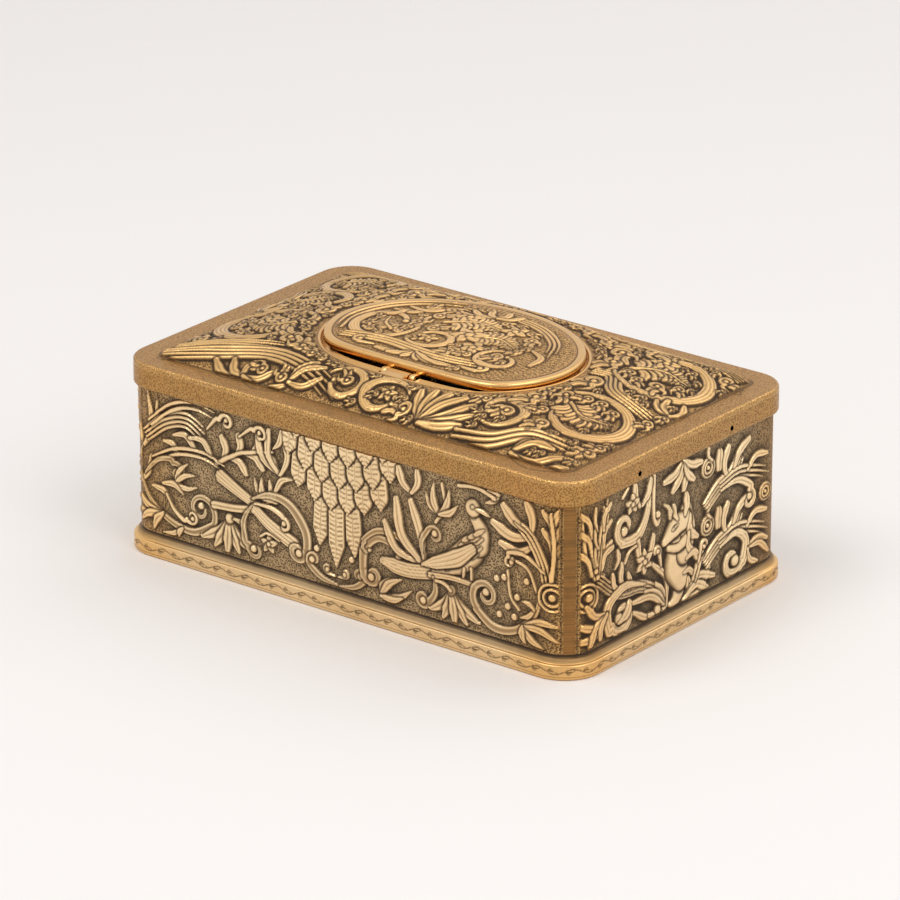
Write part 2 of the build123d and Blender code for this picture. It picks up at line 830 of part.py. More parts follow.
def ratchet_wheel():
    points = []
    for tooth in range(ratchet_teeth):
        for radius, share in ((ratchet_radius, 0.0), (ratchet_radius - ratchet_depth, 0.12)):
            turn = 2 * math.pi * (tooth + share) / ratchet_teeth
            points.append((radius * math.cos(turn), radius * math.sin(turn)))
    outline = Pos(barrel_at[0], barrel_at[1], ratchet_z) * make_face(Polyline(*points, close=True))
    return extrude(outline, 0.9) - hole(barrel_at, ratchet_seat + fixed_gap, ratchet_z - 1, ratchet_z + 2)


click_pivot = polar(barrel_at, ratchet_radius + 4.2, 118.0)
click_tooth = 6
click_post_radius = 0.8


def click():
    bearing = 360 * (click_tooth - 0.25) / ratchet_teeth
    tip = polar(barrel_at, ratchet_radius + 0.5, bearing)
    body = arm(click_pivot, tip, 1.3, ratchet_z, ratchet_z + 0.9)
    body += post(click_pivot, 1.6, ratchet_z, ratchet_z + 0.9)
    body -= hole(barrel_at, ratchet_radius + 0.12, ratchet_z - 1, ratchet_z + 2)
    return body - hole(click_pivot, click_post_radius + running_gap, ratchet_z - 1, ratchet_z + 2)


def click_post():
    return post(click_pivot, click_post_radius, upper_plate_top, ratchet_z + 1.2)


def click_spring():
    foot = (click_pivot[0] - 6.5, click_pivot[1] - 1.0)
    body = post(foot, 1.1, upper_plate_top, ratchet_z + 1.0)
    return body + arm(foot, (click_pivot[0] - 2.1, click_pivot[1] + 1.2), 0.4, ratchet_z + 0.1, ratchet_z + 0.8)


def plain_arbor(at, top):
    return post(at, arbor_radius, lower_plate_z, top)


def cam_arbor():
    return plain_arbor(cam_at, cam_stack_top + 0.5)


def cam_pinion():
    return gear(
        cam_pinion_teeth, cam_at, great_wheel_z - 0.2, barrel_z + 0.2, arbor_radius + fixed_gap, cam_turn
    )


def cam_wheel():
    high = cam_wheel_z + wheel_thickness
    body = gear(cam_wheel_teeth, cam_at, cam_wheel_z, high, arbor_radius + fixed_gap)
    return body - crossed_out(cam_wheel_teeth, cam_at, cam_wheel_z, high, wheel_hub + 0.6, wheel_rim, 5)


cam_z = (whistle_z - 0.5, whistle_z + 1.7)
cam_stack_top = cam_z[1] + 1.0


def cam_outline(lobes, lift, shift):
    points = []
    for step in range(cam_points):
        turn = 2 * math.pi * step / cam_points
        dip = 0.5 + 0.5 * math.cos(lobes * turn + shift)
        dip = dip ** 2 * (0.7 + 0.3 * math.cos(turn))
        radius = cam_radius - lift * dip
        points.append((radius * math.cos(turn), radius * math.sin(turn)))
    return make_face(Polyline(*points, close=True))


def cam_stack():
    body = post(cam_at, 2.2, upper_plate_top + 0.3, cam_stack_top)
    for low, lobes, lift, shift in ((cam_z[0], 3, cam_lift, 0.4), (cam_z[1], 5, cam_lift * 0.55, 1.2)):
        body += extrude(Pos(cam_at[0], cam_at[1], low) * cam_outline(lobes, lift, shift), 1.0)
    return body - hole(cam_at, arbor_radius + fixed_gap, upper_plate_top, cam_stack_top + 1)


def third_arbor():
    low, high = cam_wheel_z - 0.2, cam_wheel_z + wheel_thickness + 0.2
    pinion = leaves(third_pinion_teeth, third_at, low, high, third_turn)
    return plain_arbor(third_at, upper_plate_top) + pinion


def third_wheel():
    high = third_wheel_z + wheel_thickness
    body = gear(third_wheel_teeth, third_at, third_wheel_z, high, arbor_radius + fixed_gap)
    return body - crossed_out(third_wheel_teeth, third_at, third_wheel_z, high, wheel_hub, wheel_rim, 4)


def fourth_arbor():
    low, high = third_wheel_z - 0.2, third_wheel_z + wheel_thickness + 0.2
    pinion = leaves(fourth_pinion_teeth, fourth_at, low, high, fourth_turn)
    eccentric = (fourth_at[0] + crank_throw, fourth_at[1])
    crank = post(eccentric, crank_radius, crank_z, crank_z + wheel_thickness)
    return plain_arbor(fourth_at, upper_plate_top) + pinion + crank


def fourth_wheel():
    high = fourth_wheel_z + wheel_thickness
    body = gear(fourth_wheel_teeth, fourth_at, fourth_wheel_z, high, arbor_radius + fixed_gap)
    return body - crossed_out(fourth_wheel_teeth, fourth_at, fourth_wheel_z, high, wheel_hub, wheel_rim, 4)


fly_z = upper_plate_top + 1.6
fly_height = 4.4


def fly_arbor():
    low, high = fourth_wheel_z - 0.2, fourth_wheel_z + wheel_thickness + 0.2
    pinion = leaves(fly_pinion_teeth, fly_at, low, high, fly_turn)
    return plain_arbor(fly_at, fly_z + fly_height) + pinion


def fly():
    """Two thin air vanes on a hub."""
    body = post(fly_at, 1.2, fly_z, fly_z + fly_height)
    vane = box_between((-fly_radius, -0.2, fly_z), (fly_radius, 0.2, fly_z + fly_height))
    body += Pos(fly_at[0], fly_at[1], 0) * vane
    return body - hole(fly_at, arbor_radius + fixed_gap, fly_z - 1, fly_z + fly_height + 1)


# Levers above the upper plate, both on one post
lever_post_radius = 0.9
follower_at = polar(cam_at, cam_radius + 0.9, 215.0)
piston_push = (lever_pivot[0] - 1.5, whistle_y)


def lever_post():
    return post(lever_pivot, lever_post_radius, upper_plate_top, cam_z[1] + 1.4)


def lever_blank(low):
    body = post(lever_pivot, 2.0, low, low + 1.0)
    return body + arm(lever_pivot, follower_at, 1.3, low, low + 1.0)


def lever_hole():
    return hole(lever_pivot, lever_post_radius + running_gap, upper_plate_top, cam_z[1] + 3)


def piston_lever():
    body = lever_blank(cam_z[0]) + arm(lever_pivot, piston_push, 1.2, cam_z[0], cam_z[0] + 1.0)
    return body - lever_hole()


wire_at = (-9.8, -12.8)
wire_radius = 0.35
wire_top = 33.0
wire_end = (-2.6, -11.4)


def song_lever():
    low = cam_z[1]
    body = lever_blank(low) + arm(lever_pivot, wire_at, 1.3, low, low + 1.0)
    body -= lever_hole()
    body += post(wire_at, wire_radius, low + 0.2, wire_top)
    return body + arm(wire_at, wire_end, 2 * wire_radius, wire_top - 0.7, wire_top)


# Whistle beside the movement, with its piston
def whistle_tube():
    body = bar_along_x(whistle_y, whistle_z, whistle_radius, whistle_west, whistle_east)
    body -= bore_along_x(whistle_y, whistle_z, whistle_bore, whistle_west - 1, whistle_east - 4)
    body -= bore_along_x(whistle_y, whistle_z, whistle_bore * 0.5, whistle_east - 5, whistle_east + 1)
    mouth = box_between(
        (whistle_east - 7, whistle_y - 1.1, whistle_z + 0.5),
        (whistle_east - 4.2, whistle_y + 1.1, whistle_z + whistle_radius + 1),
    )
    return body - mouth


def whistle_clips():
    clips = []
    for x in (whistle_west + 3, plate_east - 9.5):
        clip = box_between((x, whistle_y - 3.2 + 1.9, upper_plate_top), (x + 2, whistle_y + 3.2, whistle_z))
        clip -= bore_along_x(whistle_y, whistle_z, whistle_radius + fixed_gap, x - 1, x + 3)
        clips.append(clip)
    return Compound(children=clips)


def whistle_piston():
    head_west = piston_push[0] + 0.6 + 0.3
    body = bar_along_x(whistle_y, whistle_z, 1.4, head_west, head_west + 0.8)
    body += bar_along_x(whistle_y, whistle_z, 0.5, head_west, whistle_west + 3)
    return body + bar_along_x(
        whistle_y, whistle_z, whistle_bore - running_gap, whistle_west + 2, whistle_west + 6
    )


# Bellows: a fixed board, with the feeder on one side and the reservoir on the other
bellows_east = bellows_x + bellows_board
feeder_east = bellows_x - feeder_gap
feeder_west = feeder_east - bellows_board
reservoir_west = bellows_east + reservoir_gap
reservoir_east = reservoir_west + bellows_board


def bellows_wall():
    half = bellows_half_length
    body = box_between((bellows_x, -half, base_top), (bellows_east, half, bellows_top))
    for west, east, y in ((feeder_west - 0.2, bellows_x, half), (bellows_east, reservoir_east + 0.2, -half)):
        low_y, high_y = sorted((y, y - math.copysign(1.2, y)))
        body += box_between((west, low_y, bellows_bottom), (east, high_y, bellows_top))
    foot = box_between((bellows_x - 2.5, -half + 4, base_top), (bellows_east + 2.5, half - 4, base_top + 1.2))
    return body + foot


board_end_gap = 1.4


def feeder_board():
    half = bellows_half_length
    body = box_between((feeder_west, -half + 1, bellows_bottom), (feeder_east, half - board_end_gap, bellows_top))
    lug_low = (feeder_west - 2.6, fourth_at[1] - 1.2, crank_z - 1.2)
    for low in (crank_z - 1.2, crank_z + wheel_thickness + 0.1):
        body += box_between((lug_low[0], lug_low[1], low), (feeder_west, fourth_at[1] + 1.2, low + 1.1))
    return body - hole(rod_pin_at, rod_pin_radius + fixed_gap, crank_z - 3, crank_z + 4)


rod_pin_at = (feeder_west - 1.4, fourth_at[1])
rod_pin_radius = 0.5


def rod_pin():
    return post(rod_pin_at, rod_pin_radius, crank_z - 1.2, crank_z + wheel_thickness + 1.2)


feeder_swing = 5.0
rod_travel = math.radians(feeder_swing) * (bellows_half_length - board_end_gap - fourth_at[1])


def connecting_rod():
    """Joined to the feeder by a pin. Its long eye clears the turning crank."""
    eye_half = crank_radius + crank_throw + rod_travel / 2 + 0.2
    eye_depth = crank_radius + crank_throw + 0.2
    eye_x = fourth_at[0] + rod_travel / 2
    low, high = crank_z + 0.05, crank_z + wheel_thickness - 0.05
    eye = rounded_ring(2 * eye_half + 2 * eye_wall, 2 * eye_depth + 2 * eye_wall, eye_depth, 0, 4)
    inner = rounded_ring(2 * eye_half, 2 * eye_depth, eye_depth - 0.5, 0, 4)
    body = Pos(eye_x, fourth_at[1], 0) * prism(flat(eye), low, high)
    body += arm((eye_x + eye_half + eye_wall / 2, fourth_at[1]), rod_pin_at, rod_width, low, high)
    body -= Pos(eye_x, fourth_at[1], 0) * prism(flat(inner), low - 1, high + 1)
    return body - hole(rod_pin_at, rod_pin_radius + running_gap, low - 1, high + 1)


def reservoir_board():
    half = bellows_half_length
    return box_between(
        (reservoir_west, -half + board_end_gap, bellows_bottom), (reservoir_east, half - 1, bellows_top)
    )


def leather(west, east):
    """A folded leather gusset, with one sharp pleat along each long edge."""
    half = bellows_half_length - 3
    middle = (west + east) / 2
    fold = 0.9
    points = [(west, -half), (middle, -half - fold), (east, -half), (east, half), (middle, half + fold), (west, half)]
    outline = Pos(0, 0, bellows_bottom + 1) * make_face(Polyline(*points, close=True))
    return extrude(outline, bellows_top - bellows_bottom - 2)


def wind_channel():
    """The air duct from the bellows to the whistle."""
    duct = box_between(
        (whistle_east, whistle_y - 2.0, whistle_z - 2.1), (bellows_east, whistle_y + 1.8, whistle_z + 2.1)
    )
    duct += box_between(
        (bellows_x, whistle_y + 1.8, whistle_z - 2.1), (bellows_east, -bellows_half_length, whistle_z + 2.1)
    )
    return duct - bar_along_x(whistle_y, whistle_z, whistle_bore * 0.5, whistle_east - 1, bellows_x)


# Start slide and the lever that frees the fly
slide_inner_y = wall_depth / 2 - wall_thickness - slide_gap


def start_slide():
    outer_y = wall_depth / 2 + slide_gap
    button_y = outer_y + slide_proud
    body = Pos(slide_x, 0, slide_z) * box_between(
        (-slide_button[0] / 2, outer_y, -slide_button[1] / 2), (slide_button[0] / 2, button_y, slide_button[1] / 2)
    )
    grips = body.edges().filter_by(Axis.Z).group_by(Axis.Y)[-1]
    body = chamfer(grips, 0.35)
    neck_half = (slide_neck[0] / 2, slide_neck[1] / 2)
    body += Pos(slide_x, 0, slide_z) * box_between(
        (-neck_half[0], slide_inner_y - 0.5, -neck_half[1]), (neck_half[0], outer_y + 0.2, neck_half[1])
    )
    inner_half = (slide_button[0] / 2 + 1.0, slide_button[1] / 2 + 0.6)
    body += Pos(slide_x, 0, slide_z) * box_between(
        (-inner_half[0], slide_inner_y - 0.8, -inner_half[1]), (inner_half[0], slide_inner_y, inner_half[1])
    )
    return body


start_pivot = (plate_east - start_inset[0], plate_south + start_inset[1])
start_z = upper_plate_top + 1.2
start_post_radius = 0.8
start_tip = (slide_x - 3.6, slide_inner_y - 5.1)
stop_tip = polar(fly_at, fly_radius + 0.9, 110.0)


def start_lever():
    low, high = start_z, start_z + 0.9
    body = arm(start_pivot, start_tip, 1.4, low, high) + arm(start_pivot, stop_tip, 1.2, low, high)
    body += post(start_pivot, 1.9, low, high)
    return body - hole(start_pivot, start_post_radius + running_gap, low - 1, high + 1)


def start_post():
    return post(start_pivot, start_post_radius, upper_plate_top, start_z + 1.2)


write("plinth", plinth())
write("base_plate", base_plate())
write("base_screws", Compound(children=[screw(at, plinth_height - 0.5) for at in base_screw_places()]))
write("movement_screws", Compound(children=[screw(at, plate_top - 0.4) for at in pillar_places()]))
write("case_shell", case_shell())
write("top_frame", top_frame())
write("frame_pins", Compound(children=frame_pin_holes(0)))
write("hinge_block", hinge_block())
write("hinge_pin", hinge_pin())
write("bird_lid", bird_lid())
write("well_ring", well_ring())
write("grille_plate", grille_plate())
write("bird_bracket", bird_bracket())
write("carriage_pin", carriage_pin())
write("bird_carriage", bird_carriage())
write("bird_stem", bird_stem())
write("bird_body", bird_body_solid())
write("bird_beak", bird_beak())
write("bird_tail", bird_tail())
write("bird_wing_left", bird_wing(1))
write("bird_wing_right", bird_wing(-1))
write("lower_plate", lower_plate())
write("upper_plate", upper_plate())
write("pillars", pillars())
write("great_wheel", great_wheel())
write("spring_barrel", spring_barrel())
write("barrel_cover", barrel_cover())
write("mainspring", mainspring())
write("barrel_arbor", barrel_arbor())
write("ratchet_wheel", ratchet_wheel())
write("click", click())
write("click_spring", click_spring())
write("cam_arbor", cam_arbor())
write("cam_pinion", cam_pinion())
write("cam_wheel", cam_wheel())
write("cam_stack", cam_stack())
write("third_arbor", third_arbor())
write("third_wheel", third_wheel())
write("fourth_arbor", fourth_arbor())
write("fourth_wheel", fourth_wheel())
write("fly_arbor", fly_arbor())
write("fly", fly())
write("lever_posts", Compound(children=[click_post(), lever_post(), start_post()]))
write("piston_lever", piston_lever())
write("song_lever", song_lever())
write("whistle_tube", whistle_tube())
write("whistle_clips", whistle_clips())
write("whistle_piston", whistle_piston())
write("bellows_wall", bellows_wall())
write("feeder_board", feeder_board() + rod_pin())
write("connecting_rod", connecting_rod())
write("reservoir_board", reservoir_board())
write("bellows_leather", Compound(children=[
    leather(feeder_east + leather_gap, bellows_x), leather(bellows_east, reservoir_west - leather_gap)
]))
write("wind_channel", wind_channel())
write("start_slide", start_slide())
write("start_lever", start_lever())
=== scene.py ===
import json
import math

import bmesh
import bpy
import numpy as np
from mathutils import Matrix, Vector


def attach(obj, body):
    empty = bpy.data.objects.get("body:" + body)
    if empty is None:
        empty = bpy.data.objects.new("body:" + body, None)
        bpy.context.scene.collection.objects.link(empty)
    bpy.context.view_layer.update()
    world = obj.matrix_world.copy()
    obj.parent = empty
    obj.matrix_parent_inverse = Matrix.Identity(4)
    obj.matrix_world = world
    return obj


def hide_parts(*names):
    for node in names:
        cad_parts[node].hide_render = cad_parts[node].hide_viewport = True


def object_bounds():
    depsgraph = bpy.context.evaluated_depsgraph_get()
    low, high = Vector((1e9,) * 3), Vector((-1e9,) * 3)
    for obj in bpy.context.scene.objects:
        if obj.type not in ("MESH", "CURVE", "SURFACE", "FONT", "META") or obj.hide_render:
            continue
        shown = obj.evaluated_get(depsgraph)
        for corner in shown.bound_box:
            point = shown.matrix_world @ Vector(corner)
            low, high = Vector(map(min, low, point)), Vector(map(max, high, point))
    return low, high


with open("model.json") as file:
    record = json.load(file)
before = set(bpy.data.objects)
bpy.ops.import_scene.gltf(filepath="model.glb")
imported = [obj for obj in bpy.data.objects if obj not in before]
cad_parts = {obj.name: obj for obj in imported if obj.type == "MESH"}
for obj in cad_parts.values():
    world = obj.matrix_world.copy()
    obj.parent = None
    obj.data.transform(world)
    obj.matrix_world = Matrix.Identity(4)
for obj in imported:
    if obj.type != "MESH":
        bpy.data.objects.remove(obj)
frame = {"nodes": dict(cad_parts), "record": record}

bl_info = {
    "name": "Singing bird box",
    "version": (1, 0, 0),
    "blender": (4, 5, 0),
    "location": "View3D > Sidebar > Bird Box",
    "description": "Chased gilt case, lid, bird and finishes around the packed clockwork",
    "category": "Add Mesh",
}

CAD_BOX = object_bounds()
MM = 0.001

# Sizes of the case in millimetres, as the solids have them
BOX_HALF = (CAD_BOX[1].x / MM, CAD_BOX[1].y / MM)
PLINTH_CORNER = 7.3
PLINTH_TOP = 4.35
PLINTH_STEP = 1.4
WALL_HALF = (BOX_HALF[0] - PLINTH_STEP, BOX_HALF[1] - PLINTH_STEP)
WALL_CORNER = PLINTH_CORNER - PLINTH_STEP
WALL_THICK = 1.35
WALL_LOW, WALL_HIGH = 4.3, 31.62
FRAME_OUT = 0.92
FRAME_HALF = (WALL_HALF[0] + FRAME_OUT, WALL_HALF[1] + FRAME_OUT)
FRAME_CORNER = WALL_CORNER + FRAME_OUT
FRAME_LOW, FRAME_TOP = 31.5, 36.2
FRAME_SKIN = 1.5
FRAME_SIDE = 0.9
BORDER = 4.7
PANEL_RISE = 4.2
COLLAR_Z = FRAME_TOP + PANEL_RISE
COLLAR_HALF = (26.0, 20.6)
COLLAR_CHORD = 18.8
THROAT_HALF = (23.8, 18.4)
THROAT_CHORD = 14.9
LUG_NOTCH = (4.0, 16.6)
SEAT_Z = COLLAR_Z - 0.5
LID_HALF = (25.0, 19.6)
LID_RIM = 1.55
LID_LOW, LID_TOP = 40.05, 41.4
LID_DISH = 3.5
DOME_RISE = 0.44
CHORD_Y = -14.2
HINGE_Y, HINGE_Z = -15.4, 39.5
LUG_RADIUS = 0.95
LUG_ENDS = (2.52, 3.72)

# The start slide on the front wall: its flat field's ends, foot and top, and its slot's middle and halves
SLIDE_WAY = (18.0, 30.0, 23.6, 28.4)
SLIDE_SLOT = (24.0, 4.12, 26.0, 0.92)

# Relief in millimetres: the sheets' pitch, the tallest height and the reach of the painted patina and shade
# round a stroke
PITCH = 0.17
RELIEF_LIMIT = 0.85
HALO = 0.45

# How many points of a path are laid at once, and how finely the frame and the lid are divided
CHUNK = 14
LINE_CHUNK = 140
FRAME_SPACING = 0.19
LID_COLUMNS = 860

# Where a wall's plain corner strip starts, past the wall's flat part
STRIP_START = 2.9

# Stage: lamps by name, bearing and height in degrees, size in metres and power in watts
LAMPS = (("key", -25.0, 62.0, 0.5, 2.5), ("fill", 80.0, 45.0, 0.5, 1.9), ("back", 165.0, 55.0, 0.8, 1.7))
LAMP_DISTANCE = 0.9
LAMP_AIM = (0, 0, 0.02)
ROOM_LIGHT = (0.54, 0.537, 0.535)
BACKDROP = (0.888, 0.855, 0.831)

# Camera, solved from the box's straight edges: angles in degrees, lengths in metres, lens in millimetres
CAMERA_BEARING, CAMERA_RISE = 38.04, 21.73
CAMERA_TARGET = (0, 0, 0.01809)
CAMERA_DISTANCE = 1.0645
CAMERA_LENS, CAMERA_SENSOR = 240.5, 36.0
CAMERA_SHIFT = (-0.0047, 0.0159)


def unit(vectors):
    """The same directions at length one."""
    return vectors / np.maximum(np.linalg.norm(vectors, axis=-1, keepdims=True), 1e-9)


class Sheet:
    """Heights in millimetres over a flat sheet, with ornament laid stroke by stroke."""

    def __init__(self, low, high, pitch=PITCH):
        self.low = np.array(low, float)
        self.pitch = pitch
        columns, rows = np.round((np.array(high, float) - self.low) / pitch).astype(int) + 1
        self.heights = np.zeros((rows, columns))
        self.worked = np.zeros((rows, columns))
        self.shade = np.zeros((rows, columns))

    def grid(self):
        """Where each point of the sheet lies."""
        rows, columns = self.heights.shape
        return np.meshgrid(
            self.low[0] + self.pitch * np.arange(columns), self.low[1] + self.pitch * np.arange(rows)
        )

    def window(self, points, reach):
        """The rows and columns within reach of some points."""
        rows, columns = self.heights.shape
        low = np.floor((points.min(0) - reach - self.low) / self.pitch).astype(int)
        high = np.ceil((points.max(0) + reach - self.low) / self.pitch).astype(int) + 1
        low, high = np.clip(low, 0, (columns, rows)), np.clip(high, 0, (columns, rows))
        return slice(low[1], high[1]), slice(low[0], high[0])

    def lay(self, points, widths, height, section, keep=0.3, groove=0.22):
        """Lays a stroke of half widths along points. section gives its height from u, s and t:
        the share of the half width, the same with the side's sign, and the way along.
        Its foot gets a groove, and a halo of patina and painted shade; the low parts of its section are
        painted darker, as painted shade."""
        points = np.asarray(points, float)
        count = len(points)
        widths = np.broadcast_to(np.asarray(widths, float), (count,))
        along = np.linspace(0, 1, count)
        tangents = unit(np.gradient(points, axis=0))
        reach = widths.max() + HALO
        whole = self.window(points, reach)
        shape = self.heights[whole].shape
        if 0 in shape:
            return
        share, side, way = np.full(shape, 9.0), np.zeros(shape), np.zeros(shape)
        width = np.ones(shape)
        for start in range(0, count, CHUNK):
            part = slice(start, start + CHUNK + 1)
            rows, columns = self.window(points[part], widths[part].max() + HALO)
            if rows.stop <= rows.start or columns.stop <= columns.start:
                continue
            x = self.low[0] + self.pitch * np.arange(columns.start, columns.stop)
            y = self.low[1] + self.pitch * np.arange(rows.start, rows.stop)
            dx = x[None, None, :] - points[part, 0][:, None, None]
            dy = y[None, :, None] - points[part, 1][:, None, None]
            near = np.sqrt(dx * dx + dy * dy) / widths[part][:, None, None]
            pick = near.argmin(0)[None]
            least = np.take_along_axis(near, pick, 0)[0]
            turn = tangents[part]
            cross = turn[:, 0][:, None, None] * dy - turn[:, 1][:, None, None] * dx
            signed = np.take_along_axis(cross, pick, 0)[0] / widths[part][pick[0]]
            inner = (
                slice(rows.start - whole[0].start, rows.stop - whole[0].start),
                slice(columns.start - whole[1].start, columns.stop - whole[1].start),
            )
            better = least < share[inner]
            share[inner] = np.where(better, least, share[inner])
            side[inner] = np.where(better, signed, side[inner])
            way[inner] = np.where(better, along[part][pick[0]], way[inner])
            width[inner] = np.where(better, widths[part][pick[0]], width[inner])
        inside = share < 1
        u = np.clip(share, 0, 1)
        form = section(u, np.clip(side, -1, 1), way)
        old = self.heights[whole]
        cut = np.clip(1 - (share - 1) * width / groove, 0, 1) * (~inside)
        lowered = np.maximum(old - 0.35 * height * cut, np.minimum(old, -0.04 * cut))
        self.heights[whole] = np.where(inside, np.maximum(old, 0) * keep + height * form, lowered)
        self.worked[whole] = np.maximum(self.worked[whole], inside)
        # The halo round the stroke's foot and the low parts of its section are painted darker: patina and
        # painted shade.
        around = np.clip(1 - (share - 1) * width / HALO, 0, 1)
        within = np.clip(1.05 - 1.5 * form, 0, 1)
        self.shade[whole] = np.where(inside, within, np.maximum(self.shade[whole], around))

    def finished(self):
        """Heights held under the limit and smoothed by one light pass."""
        held = RELIEF_LIMIT * np.tanh(self.heights / RELIEF_LIMIT)
        padded = np.pad(held, 1, mode="edge")
        rows = 0.18 * padded[:-2] + 0.64 * padded[1:-1] + 0.18 * padded[2:]
        return 0.18 * rows[:, :-2] + 0.64 * rows[:, 1:-1] + 0.18 * rows[:, 2:]


# Sections across a stroke
def rounded(u, s, t):
    return (1 - u ** 2) ** 0.6


def veined(u, s, t):
    return (1 - u ** 2) ** 0.5 * (1 - 0.5 * np.exp(-((s / 0.2) ** 2)))


def ribbed(ribs):
    """Parallel ridges with dark valleys between them."""
    def section(u, s, t):
        return (1 - u ** 5) * (0.42 + 0.58 * np.abs(np.cos(0.5 * np.pi * ribs * (s + 1 + 1 / ribs))))

    return section


def hollowed(u, s, t):
    """A scroll's moulding: two raised edges and a hollow between them."""
    return (1 - u ** 6) * (0.46 + 0.54 * s ** 2)


def barbed(barbs):
    """A feather: a grooved shaft, short barbs on both sides of it and a plain raised edge."""
    def section(u, s, t):
        stroke = np.clip(1.7 * np.cos(2 * np.pi * (barbs * t + 0.45 * np.abs(s))), 0, 1)
        vane = (np.abs(s) > 0.12) & (np.abs(s) < 0.74)
        return (1 - u ** 7) * (0.95 - 0.42 * vane * stroke - 0.4 * np.exp(-((s / 0.09) ** 2)))

    return section


def furred(u, s, t):
    """A full form with short combed strokes over it."""
    strokes = 0.5 + 0.5 * np.cos(2 * np.pi * (13 * t + 1.6 * s))
    return (1 - u ** 2) ** 0.6 * (1 - 0.16 * strokes * (1 - u))


# Paths
def through(*points, spacing=0.16):
    """An even smooth curve through a few points."""
    knots = np.array(points, float)
    if len(knots) == 2:
        knots = np.array([knots[0], knots.mean(0), knots[1]])
    ends = np.vstack([2 * knots[0] - knots[1], knots, 2 * knots[-1] - knots[-2]])
    t = np.linspace(0, 1, 24, endpoint=False)[:, None]
    spans = []
    for a, b, c, d in zip(ends, ends[1:], ends[2:], ends[3:]):
        bend = (2 * a - 5 * b + 4 * c - d) * t ** 2
        spans.append(0.5 * (2 * b + (c - a) * t + bend + (3 * b - a - 3 * c + d) * t ** 3))
    return evenly(np.vstack(spans + [knots[-1:]]), spacing)


def evenly(path, spacing=0.16):
    """The same path with its points at even steps."""
    steps = np.concatenate([[0], np.cumsum(np.linalg.norm(np.diff(path, axis=0), axis=1))])
    count = max(int(steps[-1] / spacing), 4)
    wanted = np.linspace(0, steps[-1], count)
    return np.stack([np.interp(wanted, steps, path[:, 0]), np.interp(wanted, steps, path[:, 1])], 1)


def orbit(centre, across, up, angle):
    """Points round a centre at the given angles, on a circle or an oval."""
    return np.stack([centre[0] + across * np.cos(angle), centre[1] + up * np.sin(angle)], 1)


def spiral(centre, start_radius, start, turns):
    """A volute from its outside inwards. Turns are positive anticlockwise."""
    t = np.linspace(0, 1, 90)
    radius = start_radius * 0.16 ** (t * abs(turns) / 1.6)
    return orbit(centre, radius, radius, np.radians(start) + 2 * np.pi * turns * t)


def swell(count, start, middle, end, peak=0.4):
    """Half widths that grow from start to middle and shrink to end."""
    places = [0, peak * 0.5, peak, 0.5 + peak / 2, 1]
    widths = [start, 0.35 * start + 0.65 * middle, middle, 0.6 * middle + 0.4 * end, end]
    return np.interp(np.linspace(0, 1, count), places, widths)


def side_points(path, offset):
    """A path shifted to its left by an offset for each point."""
    tangents = unit(np.gradient(path, axis=0))
    return path + np.stack([-tangents[:, 1], tangents[:, 0]], 1) * np.asarray(offset)[..., None]


def bent(base, tip, bend):
    """A path from base to tip, bowed sideways by bend of its length."""
    base, tip = np.array(base, float), np.array(tip, float)
    run = tip - base
    return through(base, base + 0.5 * run + bend * np.array([-run[1], run[0]]), tip)


# Motifs
def bead(sheet, at, radius, height=0.75):
    sheet.lay([at, at], radius, height, rounded, keep=0.1)


def leaf(sheet, base, tip, bend=0.0, width=0.6, height=0.6, section=veined):
    """A pointed leaf."""
    path = bent(base, tip, bend)
    sheet.lay(path, swell(len(path), 0.4 * width, width, 0.12, 0.45), height, section)


def stem(sheet, *points, width=0.45, end=None, height=0.55, section=rounded):
    path = through(*points)
    sheet.lay(path, np.linspace(width, end or width, len(path)), height, section)


def scroll(sheet, points, centre, radius, turns, width=0.8, eye=0.6, height=0.7, section=hollowed,
           start=0.25):
    """A stroke that runs into a volute and ends in a round eye."""
    last = np.array(points[-1], float)
    bearing = np.degrees(np.arctan2(last[1] - centre[1], last[0] - centre[0]))
    volute = spiral(centre, radius, bearing, turns)
    path = evenly(np.vstack([through(*points, tuple(volute[0])), volute[2:]]))
    widths = swell(len(path), start, width, 0.42 * width, 0.45)
    sheet.lay(path, widths, height, section)
    bead(sheet, tuple(volute[-1]), eye, height * 1.1)


def cartouche(sheet, centre, radii, start, sweep, width=1.4, height=0.8):
    """A ring of ridges that runs inwards at its end and stops in an eye."""
    share = np.linspace(0, 1, 120)
    reach = 1 - 0.5 * np.clip(share - 0.7, 0, 1) / 0.3
    path = evenly(orbit(centre, radii[0] * reach, radii[1] * reach, np.radians(start + sweep * share)))
    sheet.lay(path, swell(len(path), 0.3 * width, width, 0.45 * width, 0.5), height, ribbed(4))
    bead(sheet, tuple(path[-1]), 0.6 * width, height)


def lobe(sheet, base, tip, bend, width, height=0.65):
    """A finger of a broad leaf, round at its tip, with a vein."""
    path = bent(base, tip, bend)
    widths = width * np.interp(np.linspace(0, 1, len(path)), [0, 0.35, 0.75, 1], [0.4, 0.8, 1.0, 0.6])
    sheet.lay(path, widths, height, veined)


def lobes(sheet, height, *fingers):
    """Fingers given by base, tip, bend and width."""
    for finger in fingers:
        lobe(sheet, *finger, height)


def spray(sheet, base, tips, width, height=0.7, bend=0.18, blade=lobe):
    """Rounded fingers that spread from one foot."""
    for number, tip in enumerate(tips):
        side = 1 if number < len(tips) / 2 else -1
        blade(sheet, base, tip, bend * side, width, height)


def fan(sheet, base, tips, width):
    """Pointed leaves that spread from one foot."""
    spray(sheet, base, tips, width, 0.65, 0.12, leaf)


